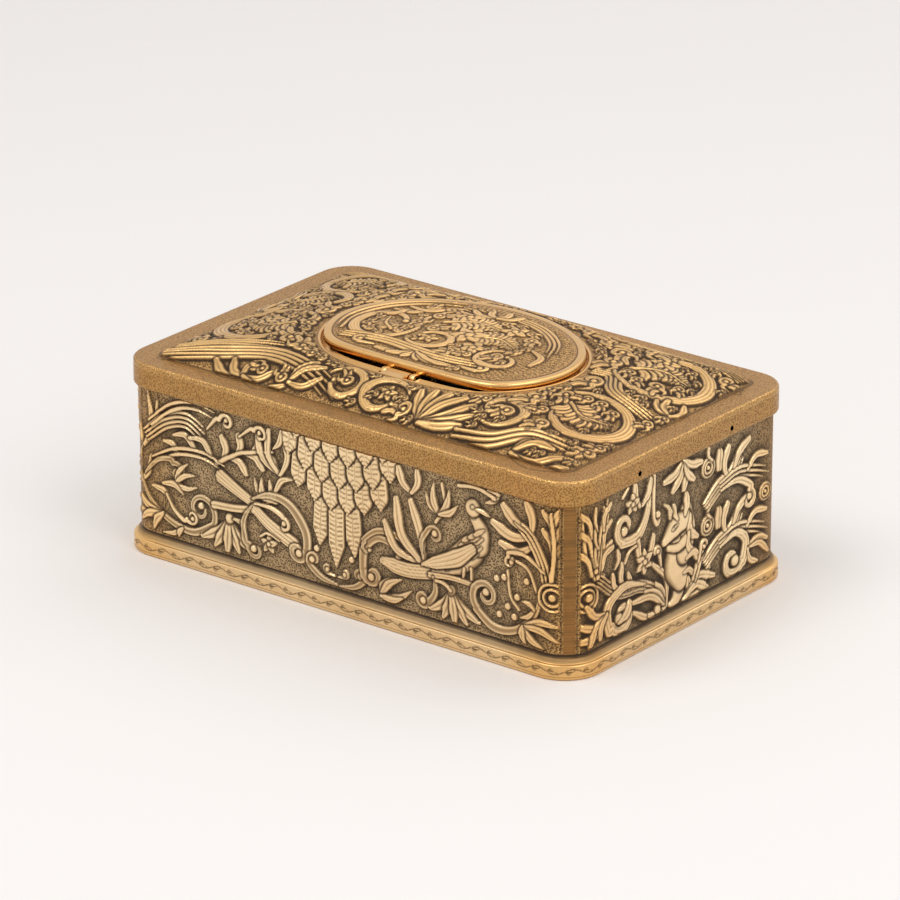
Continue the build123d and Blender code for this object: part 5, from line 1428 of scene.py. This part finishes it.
def relief_gilding(name, colours):
    """Old gilding: crests painted light as wear and painted highlight, hollows brown as patina and painted
    shade, punched on the ground, and polished rims painted light as polish and painted reflection.
    """
    finish = Finish(name)
    relief, hollow, ground, crest, polish = (
        finish.attribute(key) for key in ("relief", "hollow", "ground", "crest", "polish")
    )
    cloud = finish.noise(60.0, 4.0, 0.6)
    stain = finish.noise(420.0, 4.0, 0.65)
    grain = finish.noise(1100.0, 3.0, 0.6)
    dots = finish.cells(3000.0).between(0.26, 0.58)
    # deep paints the hollows and the stroke halos in the patina colour: patina and painted shade.
    deep = (hollow * 1.15 + (cloud - 0.5) * 0.4 + (stain - 0.5) * 0.35).held()
    wear_and_highlight = (relief - 0.2) / 0.38 + crest * 0.8 - hollow * 0.7
    high = (wear_and_highlight + (cloud - 0.5) * 0.6 + (stain - 0.5) * 0.5).held()
    # Flanks and crests, the crests painted light as wear and painted highlight, with redder patches
    tone = finish.mix(high, colours["middle"], colours["light"])
    warm = finish.noise(22.0, 2.0, 0.5).between(0.48, 0.7)
    tone = finish.mix(warm * 0.35, tone, colours["warm"])
    # Punched ground, its dots stained
    stained = finish.mix((cloud * 0.42 + stain * 0.42).held(), colours["middle"], colours["light"])
    pitted = finish.mix(0.94, colours["middle"], colours["deep"])
    ground_tone = finish.mix(dots, pitted, stained)
    tone = finish.mix(ground * 0.92, tone, ground_tone)
    tone = finish.mix(deep, tone, colours["deep"])
    # Polished rims, seat and plinth, painted light: polish and painted reflection
    scratch = finish.noise(300.0, 5.0, 0.7, finish.mapped((1.0, 12.0, 5.0), (0.0, 0.2, 0.4)))
    bright = finish.mix((cloud * 0.5 + scratch * 0.3).held(), colours["light"], colours["middle"])
    polish_and_sheen = (polish - hollow).held()
    tone = finish.mix(polish_and_sheen, tone, bright)
    ends = finish.along("X").between(*TINT_ENDS[0]) * finish.along("Y").between(*TINT_ENDS[1])
    height = finish.along("Z")
    amber = height.between(*TINT_TOP) * 0.9 + height.between(*TINT_FOOT) * 0.25 + ends * 0.9
    amber = (amber + (cloud - 0.5) * 0.5 + 0.1).held()
    tone = finish.mix(amber, tone, colours["amber"], "MULTIPLY")
    rough = 0.31 + ground * 0.14 + deep * 0.25 + (grain - 0.5) * 0.2
    rough = (rough - crest * 0.1 - polish_and_sheen * 0.08).held(0.14, 0.85)
    stipple = dots * ground * 0.9 + grain * 0.2 + scratch * polish_and_sheen * 0.2
    return finish.give(
        Base_Color=tone, Roughness=rough, Metallic=(0.96 - deep * 0.5 + polish_and_sheen * 0.04).held(),
        Normal=finish.bump(stipple, 0.00009, 0.9),
    )


def polished_gilding(name, colours, polish=0.24, scratches=0.5):
    """Bright gilding with soft clouds and fine scratches."""
    finish = Finish(name)
    cloud = finish.noise(70.0, 4.0, 0.6)
    grain = finish.noise(1400.0, 2.0, 0.5)
    scratch = finish.noise(260.0, 5.0, 0.7, finish.mapped((1.0, 14.0, 6.0), (0.0, 0.2, 0.4)))
    tone = finish.mix(cloud.between(0.35, 0.75), colours["light"], colours["middle"])
    tone = finish.mix(0.9, tone, colours["amber"], "MULTIPLY")
    rough = (polish + (cloud - 0.5) * 0.25 + (scratch - 0.5) * 0.2).held(0.12, 0.7)
    return finish.give(
        Base_Color=tone, Roughness=rough, Metallic=1.0,
        Normal=finish.bump(scratch * scratches + grain * 0.4, 0.00002, 0.5),
    )


def brushed_metal(name, light, dark, polish):
    """Metal with fine lines along X and soft blotches."""
    finish = Finish(name)
    lines = finish.noise(320.0, 4.0, 0.6, finish.mapped((1.0, 18.0, 18.0)))
    cloud = finish.noise(90.0, 3.0, 0.5)
    tone = finish.mix((cloud * 0.5 + lines * 0.4).held(), light, dark)
    rough = (polish + (lines - 0.5) * 0.25 + (cloud - 0.5) * 0.15).held(0.1, 0.8)
    return finish.give(Base_Color=tone, Roughness=rough, Metallic=1.0,
                       Normal=finish.bump(lines, 0.00001, 0.4))


def grained_board(name):
    finish = Finish(name)
    at = finish.mapped((22.0, 22.0, 2.0))
    rings = finish.noise(60.0, 5.0, 0.65, at)
    pores = finish.noise(900.0, 2.0, 0.5, finish.mapped((1.0, 1.0, 0.08)))
    stops = ((0.25, (0.20, 0.10, 0.045)), (0.55, (0.38, 0.21, 0.10)), (0.8, (0.50, 0.31, 0.16)))
    tone = finish.ramp(rings, stops)
    tone = finish.mix(pores.between(0.58, 0.7) * 0.5, tone, (0.10, 0.05, 0.02))
    return finish.give(
        Base_Color=tone, Roughness=(0.38 + (rings - 0.5) * 0.3).held(0.2, 0.8), Coat_Weight=0.25,
        Normal=finish.bump(rings * 0.5 - pores * 0.4, 0.00004, 0.5),
    )


def thin_leather(name):
    finish = Finish(name)
    cell = finish.cells(1500.0, feature="DISTANCE_TO_EDGE")
    cloud = finish.noise(120.0, 4.0, 0.6)
    tone = finish.mix(cloud.between(0.3, 0.75), (0.66, 0.55, 0.42), (0.50, 0.38, 0.26))
    tone = finish.mix(cell.between(0.0, 0.12), (0.36, 0.26, 0.17), tone)
    return finish.give(
        Base_Color=tone, Roughness=(0.6 + (cloud - 0.5) * 0.2).held(), Normal=finish.bump(cell, 0.00006, 0.6)
    )


def plumage(name, main, edge, breast=None):
    """Rows of small glued feathers."""
    finish = Finish(name)
    rows = finish.cells(900.0, finish.mapped((0.7, 1.0, 1.5), (0.0, 0.5, 0.0)))
    barbs = finish.noise(1800.0, 3.0, 0.6, finish.mapped((0.25, 1.0, 1.0), (0.0, 0.4, 0.3)))
    sheen = finish.noise(260.0, 2.0, 0.5)
    tone = finish.mix(rows.between(0.2, 0.6), main, edge)
    tone = finish.mix(sheen.between(0.45, 0.65) * 0.6, tone, breast or edge)
    tone = finish.mix(barbs.between(0.5, 0.8) * 0.4, tone, (0.02, 0.03, 0.04))
    return finish.give(
        Base_Color=tone, Roughness=(0.45 + (barbs - 0.5) * 0.3).held(), Sheen_Weight=0.4,
        Normal=finish.bump(rows * -0.8 + barbs * 0.4, 0.00012, 0.8),
    )


def polished_bone(name):
    finish = Finish(name)
    cloud = finish.noise(500.0, 3.0, 0.5)
    tone = finish.mix(cloud.between(0.3, 0.7), (0.70, 0.52, 0.28), (0.52, 0.34, 0.15))
    rough = (0.25 + (cloud - 0.5) * 0.2).held()
    return finish.give(Base_Color=tone, Roughness=rough, Normal=finish.bump(cloud, 0.00001, 0.3))


# The bird, in its own axes: X ahead, Z up, about the middle of its body
PIVOT = (-5.0, 33.5)
UPRIGHT_Y = PIVOT[0] - 2.5
BIRD_HEIGHT = 7.6
BIRD_TILT = 18.0
BODY_HALF = (4.9, 2.6)
HEAD_AT = (BODY_HALF[0] * 0.78, 0.0, BODY_HALF[1] * 0.75)
HEAD_RADIUS = 2.0


def moved(at, turn=0.0, axis="Y"):
    """A turn about an axis, then a move."""
    return Matrix.Translation(at) @ Matrix.Rotation(turn, 4, axis)


def bird_place():
    """From the bird's own axes in millimetres to its place at rest, lying on its side, in metres."""
    stand = moved((0, UPRIGHT_Y, PIVOT[1] + BIRD_HEIGHT), -math.radians(BIRD_TILT))
    there = Matrix.Translation((0, PIVOT[0], PIVOT[1]))
    laid = there @ Matrix.Rotation(-math.pi / 2, 4, "X") @ there.inverted()
    return Matrix.Scale(MM, 4) @ laid @ stand


def named(piece, name):
    piece.name = name
    piece.data.name = name
    return piece


def ball(at, scale, turn=0.0, segments=32, rings=16):
    """A ball in the bird's axes, stretched and turned about Y."""
    bpy.ops.object.select_all(action="DESELECT")
    bpy.ops.mesh.primitive_uv_sphere_add(segments=segments, ring_count=rings, radius=1.0, location=(0, 0, 0))
    piece = bpy.context.object
    piece.data.transform(moved(at, math.radians(turn)) @ Matrix.Diagonal((*scale, 1.0)))
    return piece


def joined(name, parts):
    bpy.ops.object.select_all(action="DESELECT")
    for part in parts:
        part.select_set(True)
    bpy.context.view_layer.objects.active = parts[0]
    bpy.ops.object.join()
    return named(bpy.context.object, name)


def modified(piece, kind, **settings):
    only(piece)
    modifier = piece.modifiers.new(kind, kind)
    for key, value in settings.items():
        setattr(modifier, key, value)
    bpy.ops.object.modifier_apply(modifier=modifier.name)
    return piece


def skinned(piece, voxel, factor, iterations):
    """One smooth skin over pieces that overlap."""
    modified(piece, "REMESH", mode="VOXEL", voxel_size=voxel)
    return modified(piece, "SMOOTH", factor=factor, iterations=iterations)


def settle(piece):
    """Takes a piece from the bird's axes to its place, with its faces outwards."""
    piece.data.transform(bird_place())
    outwards(piece)
    piece.data.polygons.foreach_set("use_smooth", [True] * len(piece.data.polygons))
    piece.data.update()
    return piece


def outwards(piece):
    mesh = bmesh.new()
    mesh.from_mesh(piece.data)
    bmesh.ops.recalc_face_normals(mesh, faces=mesh.faces)
    mesh.to_mesh(piece.data)
    mesh.free()


def bird_body_piece():
    length, half = BODY_HALF
    parts = [
        ball((-0.2, 0, 0), (length * 0.86, half, half)),
        ball((1.6, 0, 0.5), (3.2, half * 0.92, half * 0.96)),
        ball(HEAD_AT, (HEAD_RADIUS, HEAD_RADIUS * 0.95, HEAD_RADIUS * 0.98)),
        ball((-length * 0.72, 0, 0.1), (1.9, 0.95, 0.8), 6),
    ]
    return settle(skinned(joined("bird_plumage", parts), 0.17, 0.6, 14))


def bill_piece(name, start, reach, low_radius, high_radius, turn):
    """A tapered half of the bill, ahead along X and turned about Y."""
    bpy.ops.object.select_all(action="DESELECT")
    sizes = {"radius1": low_radius, "radius2": high_radius, "depth": reach}
    bpy.ops.mesh.primitive_cone_add(vertices=24, location=(0, 0, 0), **sizes)
    piece = named(bpy.context.object, name)
    place = moved(start, math.radians(turn)) @ Matrix.Translation((reach / 2, 0, 0))
    piece.data.transform(place @ Matrix.Rotation(math.pi / 2, 4, "Y"))
    return settle(modified(piece, "BEVEL", width=0.05, segments=3, limit_method="ANGLE"))


def feather_blade(length, depth, thickness, tips):
    """A flat fan of long feathers from X = 0 back to X = -length, made of overlapping vanes."""
    parts = []
    for number in range(tips):
        share = number / max(tips - 1, 1)
        lean = (share - 0.5) * depth
        reach = length * (1.0 - 0.28 * share)
        sizes = (reach / 2, thickness * (0.5 - 0.12 * share), depth / tips * 0.95)
        vane = ball((-reach / 2, 0, 0), sizes, 0, 20, 12)
        vane.data.transform(moved((0, 0, lean), lean * 0.05))
        parts.append(vane)
    return joined("vanes", parts)


def wing_piece(side):
    """A wing of three rows of feathers, the shortest outside."""
    name = "wing_left_feathers" if side > 0 else "wing_right_feathers"
    parts = []
    for row, (length, thickness) in enumerate(((7.4, 0.64), (5.0, 0.72), (3.0, 0.68))):
        blade = feather_blade(length, 3.1 - 0.5 * row, thickness, 6 - row)
        blade.data.transform(Matrix.Translation((-0.1, 0, 0.1 + 0.12 * row)))
        parts.append(blade)
    wing = skinned(joined(name, parts), 0.09, 0.4, 3)
    out = BODY_HALF[1] * 1.12 + 0.12 + 0.35
    wing.data.transform(Matrix.Translation((2.6, side * out, 0.4)) @ Matrix.Diagonal((1, side, 1, 1)))
    return settle(wing)


def tail_piece():
    """Five tail feathers spread flat."""
    parts = []
    for number in range(5):
        lean = number - 2
        vane = ball((-2.35, 0, 0), (2.4, 0.55, 0.16), 0, 20, 12)
        vane.data.transform(moved((0, 0, 0.06 * abs(lean)), lean * 0.13, "Z"))
        parts.append(vane)
    tail = skinned(joined("tail_feathers", parts), 0.09, 0.4, 2)
    tail.data.transform(moved((-BODY_HALF[0] - 0.15, 0, 0.2), math.radians(12)))
    return settle(tail)


def eye_piece(side):
    name = "bird_eye_left" if side > 0 else "bird_eye_right"
    at = (HEAD_AT[0] + 0.75, side * 1.62, HEAD_AT[2] + 0.45)
    return settle(named(ball(at, (0.36, 0.22, 0.36), 0, 24, 16), name))


# Everything a user would change
def amount(name, words, default, **limits):
    return bpy.props.FloatProperty(name=name, description=words, default=default, **limits)


def colour(name, words, default):
    limits = {"size": 3, "min": 0.0, "max": 1.0, "subtype": "COLOR"}
    return bpy.props.FloatVectorProperty(name=name, description=words, default=default, **limits)


class BirdBoxSizes(bpy.types.PropertyGroup):
    relief: amount("Relief", "How high the chased work stands", 1.0, min=0.2, max=1.2, subtype="FACTOR")
    lug_bevel: amount("Lug edge", "Softness of the lid lugs' edges", 0.00025, unit="LENGTH")
    floor_half: amount("Floor", "Half the length of the floor", 1.6, unit="LENGTH")


class BirdBoxColours(bpy.types.PropertyGroup):
    # light paints the high places, as wear and painted highlight; deep paints the hollows, as patina and
    # painted shade.
    light: colour("Light gilding", "Worn high places of the gilding", (1.0, 0.78, 0.475))
    middle: colour("Middle gilding", "Flanks of the relief", (0.40, 0.25, 0.11))
    deep: colour("Patina", "Brown dirt in the hollows", (0.048, 0.029, 0.014))
    warm: colour("Warm gilding", "Redder patches of the gilding", (0.60, 0.30, 0.10))
    amber: colour("Amber tint", "Laid over the top and the box's corners", (0.98, 0.80, 0.53))
    floor: colour("Floor", "The pale floor", (0.888, 0.855, 0.831))


def chosen_colours():
    group = bpy.context.scene.bird_box_colours
    return {key: tuple(getattr(group, key)) for key in ("light", "middle", "deep", "warm", "amber")}


def material_named(name, make):
    """The material of that name, made on its first use."""
    return bpy.data.materials.get(name) or make(name)


def relief_finish():
    return material_named("gilt_relief_finish", lambda name: relief_gilding(name, chosen_colours()))


def polished_finish():
    return material_named("gilt_polished_finish", lambda name: polished_gilding(name, chosen_colours()))


def dress(piece, material, body, slot, *replaced):
    piece.data.materials.clear()
    piece.data.materials.append(material)
    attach(piece, body)
    if replaced:
        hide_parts(*replaced)
    piece.select_set(False)
    return piece


class BIRDBOX_OT_walls(bpy.types.Operator):
    """Four chased walls between the plinth and the top frame"""

    bl_idname = "birdbox.walls"
    bl_label = "Case walls"

    def execute(self, context):
        names = ("wall_east", "wall_front", "wall_west", "wall_rear")
        for face, name in enumerate(names):
            sheet = wall_sheet(face)
            sheet.heights *= context.scene.bird_box_sizes.relief
            wall = wall_piece(name, sheet, face)
            dress(wall, relief_finish(), "case", "gilt_relief", *(["case_shell"] if face == 3 else []))
        return {"FINISHED"}


class BIRDBOX_OT_plinth(bpy.types.Operator):
    """Moulded plinth with its engraved band"""

    bl_idname = "birdbox.plinth"
    bl_label = "Plinth"

    def execute(self, context):
        rings, values = plinth_rings()
        plinth = ring_piece("plinth_moulding", rings, values, 0, rings.shape[1])
        dress(plinth, relief_finish(), "case", "gilt_relief", "plinth")
        return {"FINISHED"}


class BIRDBOX_OT_top(bpy.types.Operator):
    """Top frame with its embossed panel, in four sectors that meet at the corners"""

    bl_idname = "birdbox.top"
    bl_label = "Top frame"

    def execute(self, context):
        sheet = top_sheet()
        sheet.heights *= context.scene.bird_box_sizes.relief
        rings, values = frame_rings(sheet)
        count = rings.shape[1]
        quarter = count // 4
        corner = int(round((FRAME_HALF[1] - FRAME_CORNER + math.pi / 4 * FRAME_CORNER) / FRAME_SPACING))
        corners = (corner, 2 * quarter - corner, 2 * quarter + corner, count - corner, count + corner)
        names = ("top_front", "top_west", "top_rear", "top_east")
        for number, name in enumerate(names):
            sector = ring_piece(name, rings, values, corners[number], corners[number + 1])
            dress(sector, relief_finish(), "case", "gilt_relief", *(["top_frame"] if number == 2 else []))
        return {"FINISHED"}


class BIRDBOX_OT_lid(bpy.types.Operator):
    """Oval chased lid and its two lugs"""

    bl_idname = "birdbox.lid"
    bl_label = "Lid"

    def execute(self, context):
        sheet = lid_sheet()
        scale = 0.6 * context.scene.bird_box_sizes.relief
        dress(lid_piece(sheet, scale), relief_finish(), "lid", "gilt_relief", "bird_lid")
        for side, name in ((-1, "lid_lug_west"), (1, "lid_lug_east")):
            dress(self.lug(context, side, name), polished_finish(), "lid", "gilt_polished")
        return {"FINISHED"}

    def lug(self, context, side, name):
        """A knuckle with its arm up to the lid, extruded from a rounded outline."""
        outline = []
        for degrees in range(90, 271, 15):
            turn = math.radians(degrees)
            outline.append((HINGE_Y + LUG_RADIUS * math.cos(turn), HINGE_Z + LUG_RADIUS * math.sin(turn)))
        outline += [(-13.2, HINGE_Z - 0.7), (-12.5, HINGE_Z - 0.2), (-12.5, HINGE_Z + 0.75),
                    (-14.1, HINGE_Z + 0.75)]
        points = [(side * x, y, z) for x in LUG_ENDS for y, z in outline]
        count = len(outline)
        faces = [tuple(range(count)), tuple(range(count, 2 * count))]
        faces += [(i, (i + 1) % count, count + (i + 1) % count, count + i) for i in range(count)]
        lug = new_piece(name, points, faces)
        outwards(lug)
        modified(lug, "BEVEL", width=context.scene.bird_box_sizes.lug_bevel, segments=2,
                 limit_method="ANGLE")
        smooth(lug, 40)
        return lug


class BIRDBOX_OT_bird(bpy.types.Operator):
    """Feathered bird with its bill, eyes, wings and tail"""

    bl_idname = "birdbox.bird"
    bl_label = "Bird"

    def execute(self, context):
        body_coat = plumage("body_plumage", (0.02, 0.16, 0.15), (0.05, 0.42, 0.30), (0.55, 0.16, 0.03))
        wing_coat = plumage("wing_plumage", (0.03, 0.07, 0.28), (0.08, 0.30, 0.50))
        bone = polished_bone("bill_bone")
        bead_black = brushed_metal("eye_black", (0.01, 0.01, 0.01), (0.02, 0.02, 0.02), 0.12)
        dress(bird_body_piece(), body_coat, "bird", "feathers", "bird_body")
        bill = bill_piece("upper_bill", (HEAD_AT[0] + 1.4, 0, HEAD_AT[2] + 0.15), 2.9, 0.8, 0.15, BIRD_TILT)
        dress(bill, bone, "bird", "beak")
        jaw = bill_piece("lower_bill", (HEAD_AT[0] + 1.75, 0, HEAD_AT[2] - 0.55), 1.9, 0.5, 0.12, BIRD_TILT)
        dress(jaw, bone, "beak", "beak", "bird_beak")
        for side in (-1, 1):
            dress(eye_piece(side), bead_black, "bird", "dark_steel")
        dress(wing_piece(1), wing_coat, "wing_left", "wing_feathers", "bird_wing_left")
        dress(wing_piece(-1), wing_coat, "wing_right", "wing_feathers", "bird_wing_right")
        dress(tail_piece(), wing_coat, "tail", "wing_feathers", "bird_tail")
        return {"FINISHED"}


class BIRDBOX_OT_finishes(bpy.types.Operator):
    """Metals, board and leather for the clockwork and the fittings"""

    bl_idname = "birdbox.finishes"
    bl_label = "Clockwork finishes"

    def execute(self, context):
        colours = chosen_colours()
        made = {
            "gilt_relief": relief_finish(),
            "gilt_polished": polished_finish(),
            "gilt_grille": polished_gilding("gilt_grille_finish", colours, 0.34, 1.2),
            "brass": brushed_metal("clock_brass", (0.78, 0.57, 0.24), (0.50, 0.33, 0.11), 0.3),
            "steel": brushed_metal("polished_steel", (0.56, 0.56, 0.57), (0.36, 0.36, 0.38), 0.22),
            "blued_steel": brushed_metal("blued_spring_steel", (0.05, 0.08, 0.24), (0.02, 0.03, 0.12), 0.25),
            "dark_steel": brushed_metal("blackened_steel", (0.05, 0.042, 0.035), (0.02, 0.017, 0.014), 0.4),
            "feathers": bpy.data.materials["body_plumage"],
            "wing_feathers": bpy.data.materials["wing_plumage"],
            "beak": bpy.data.materials["bill_bone"],
            "board": grained_board("bellows_board"),
            "leather": thin_leather("bellows_leather_skin"),
        }
        for row in frame["record"]["subparts"]:
            node = frame["nodes"][row["node"]]
            node.data.materials.clear()
            node.data.materials.append(made[row["material_slot"]])
        return {"FINISHED"}


def sightline(bearing, height):
    """Which way a place lies from the box: degrees round from -Y towards +X, and degrees up."""
    turn, rise = math.radians(bearing), math.radians(height)
    return Vector((math.sin(turn) * math.cos(rise), -math.cos(turn) * math.cos(rise), math.sin(rise)))


class BIRDBOX_OT_stage(bpy.types.Operator):
    """Pale floor, soft lamps, pale background and the camera"""

    bl_idname = "birdbox.stage"
    bl_label = "Stage"

    def execute(self, context):
        self.floor(context)
        self.background(context)
        for name, bearing, height, size, power in LAMPS:
            self.lamp(name, bearing, height, size, power)
        self.camera(context)
        context.scene.view_settings.view_transform = "Standard"
        return {"FINISHED"}

    def floor(self, context):
        half = context.scene.bird_box_sizes.floor_half
        bpy.ops.object.select_all(action="DESELECT")
        bpy.ops.mesh.primitive_plane_add(size=2 * half, location=(0, 0, 0))
        floor = context.object
        floor.name = "floor"
        bpy.ops.object.mode_set(mode="EDIT")
        bpy.ops.mesh.subdivide(number_cuts=3)
        bpy.ops.object.mode_set(mode="OBJECT")
        finish = Finish("pale_floor")
        cloud = finish.noise(2.0, 2.0, 0.5)
        pale = tuple(context.scene.bird_box_colours.floor)
        tone = finish.mix(cloud * 0.1, pale, tuple(0.97 * part for part in pale))
        finish.give(Base_Color=tone, Roughness=0.75)
        floor.data.materials.append(finish.owner)

    def background(self, context):
        """A pale backdrop where the world is seen, and the room's light elsewhere."""
        world = bpy.data.worlds.new("pale_room")
        context.scene.world = world
        room = Nodes(world)
        seen = room.node("ShaderNodeLightPath", output="Is Camera Ray")
        rays = seen.socket.node.outputs
        for ray in ("Is Glossy Ray", "Is Transmission Ray"):
            seen = seen.maths("MAXIMUM", seen, Term(room, rays[ray]))
        room.join(room.mix(seen, ROOM_LIGHT, BACKDROP), room.tree.nodes["Background"].inputs["Color"])

    def lamp(self, name, bearing, height, size, power):
        light = bpy.data.lights.new(name, "AREA")
        light.energy, light.size = power, size
        lamp = bpy.data.objects.new(name, light)
        bpy.context.collection.objects.link(lamp)
        lamp.location = sightline(bearing, height) * LAMP_DISTANCE
        lamp.rotation_euler = (Vector(LAMP_AIM) - lamp.location).to_track_quat("-Z", "Y").to_euler()

    def camera(self, context):
        """The photograph's view."""
        back = sightline(CAMERA_BEARING, CAMERA_RISE)
        data = bpy.data.cameras.new("camera")
        data.sensor_width, data.lens = CAMERA_SENSOR, CAMERA_LENS
        data.shift_x, data.shift_y = CAMERA_SHIFT
        data.clip_start, data.clip_end = 0.01, 20.0
        camera = bpy.data.objects.new("camera", data)
        context.collection.objects.link(camera)
        camera.location = Vector(CAMERA_TARGET) + back * CAMERA_DISTANCE
        camera.rotation_euler = (-back).to_track_quat("-Z", "Y").to_euler()
        context.scene.camera = camera


PIECE_OPERATORS = (
    BIRDBOX_OT_walls, BIRDBOX_OT_plinth, BIRDBOX_OT_top, BIRDBOX_OT_lid, BIRDBOX_OT_bird,
    BIRDBOX_OT_finishes, BIRDBOX_OT_stage,
)


class BIRDBOX_PT_panel(bpy.types.Panel):
    bl_idname = "BIRDBOX_PT_panel"
    bl_label = "Singing bird box"
    bl_space_type = "VIEW_3D"
    bl_region_type = "UI"
    bl_category = "Bird Box"

    def draw(self, context):
        for group in (context.scene.bird_box_sizes, context.scene.bird_box_colours):
            column = self.layout.column()
            for key in type(group).__annotations__:
                column.prop(group, key)
        for operator in PIECE_OPERATORS:
            self.layout.operator(operator.bl_idname)


CLASSES = (BirdBoxSizes, BirdBoxColours, *PIECE_OPERATORS, BIRDBOX_PT_panel)


def register():
    for kind in CLASSES:
        bpy.utils.register_class(kind)
    bpy.types.Scene.bird_box_sizes = bpy.props.PointerProperty(type=BirdBoxSizes)
    bpy.types.Scene.bird_box_colours = bpy.props.PointerProperty(type=BirdBoxColours)


def unregister():
    del bpy.types.Scene.bird_box_colours
    del bpy.types.Scene.bird_box_sizes
    for kind in reversed(CLASSES):
        bpy.utils.unregister_class(kind)


def main():
    register()
    bpy.ops.birdbox.walls()
    bpy.ops.birdbox.plinth()
    bpy.ops.birdbox.top()
    bpy.ops.birdbox.lid()
    bpy.ops.birdbox.bird()
    bpy.ops.birdbox.finishes()
    bpy.ops.birdbox.stage()
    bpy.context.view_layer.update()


if __name__ == "__main__":
    main()
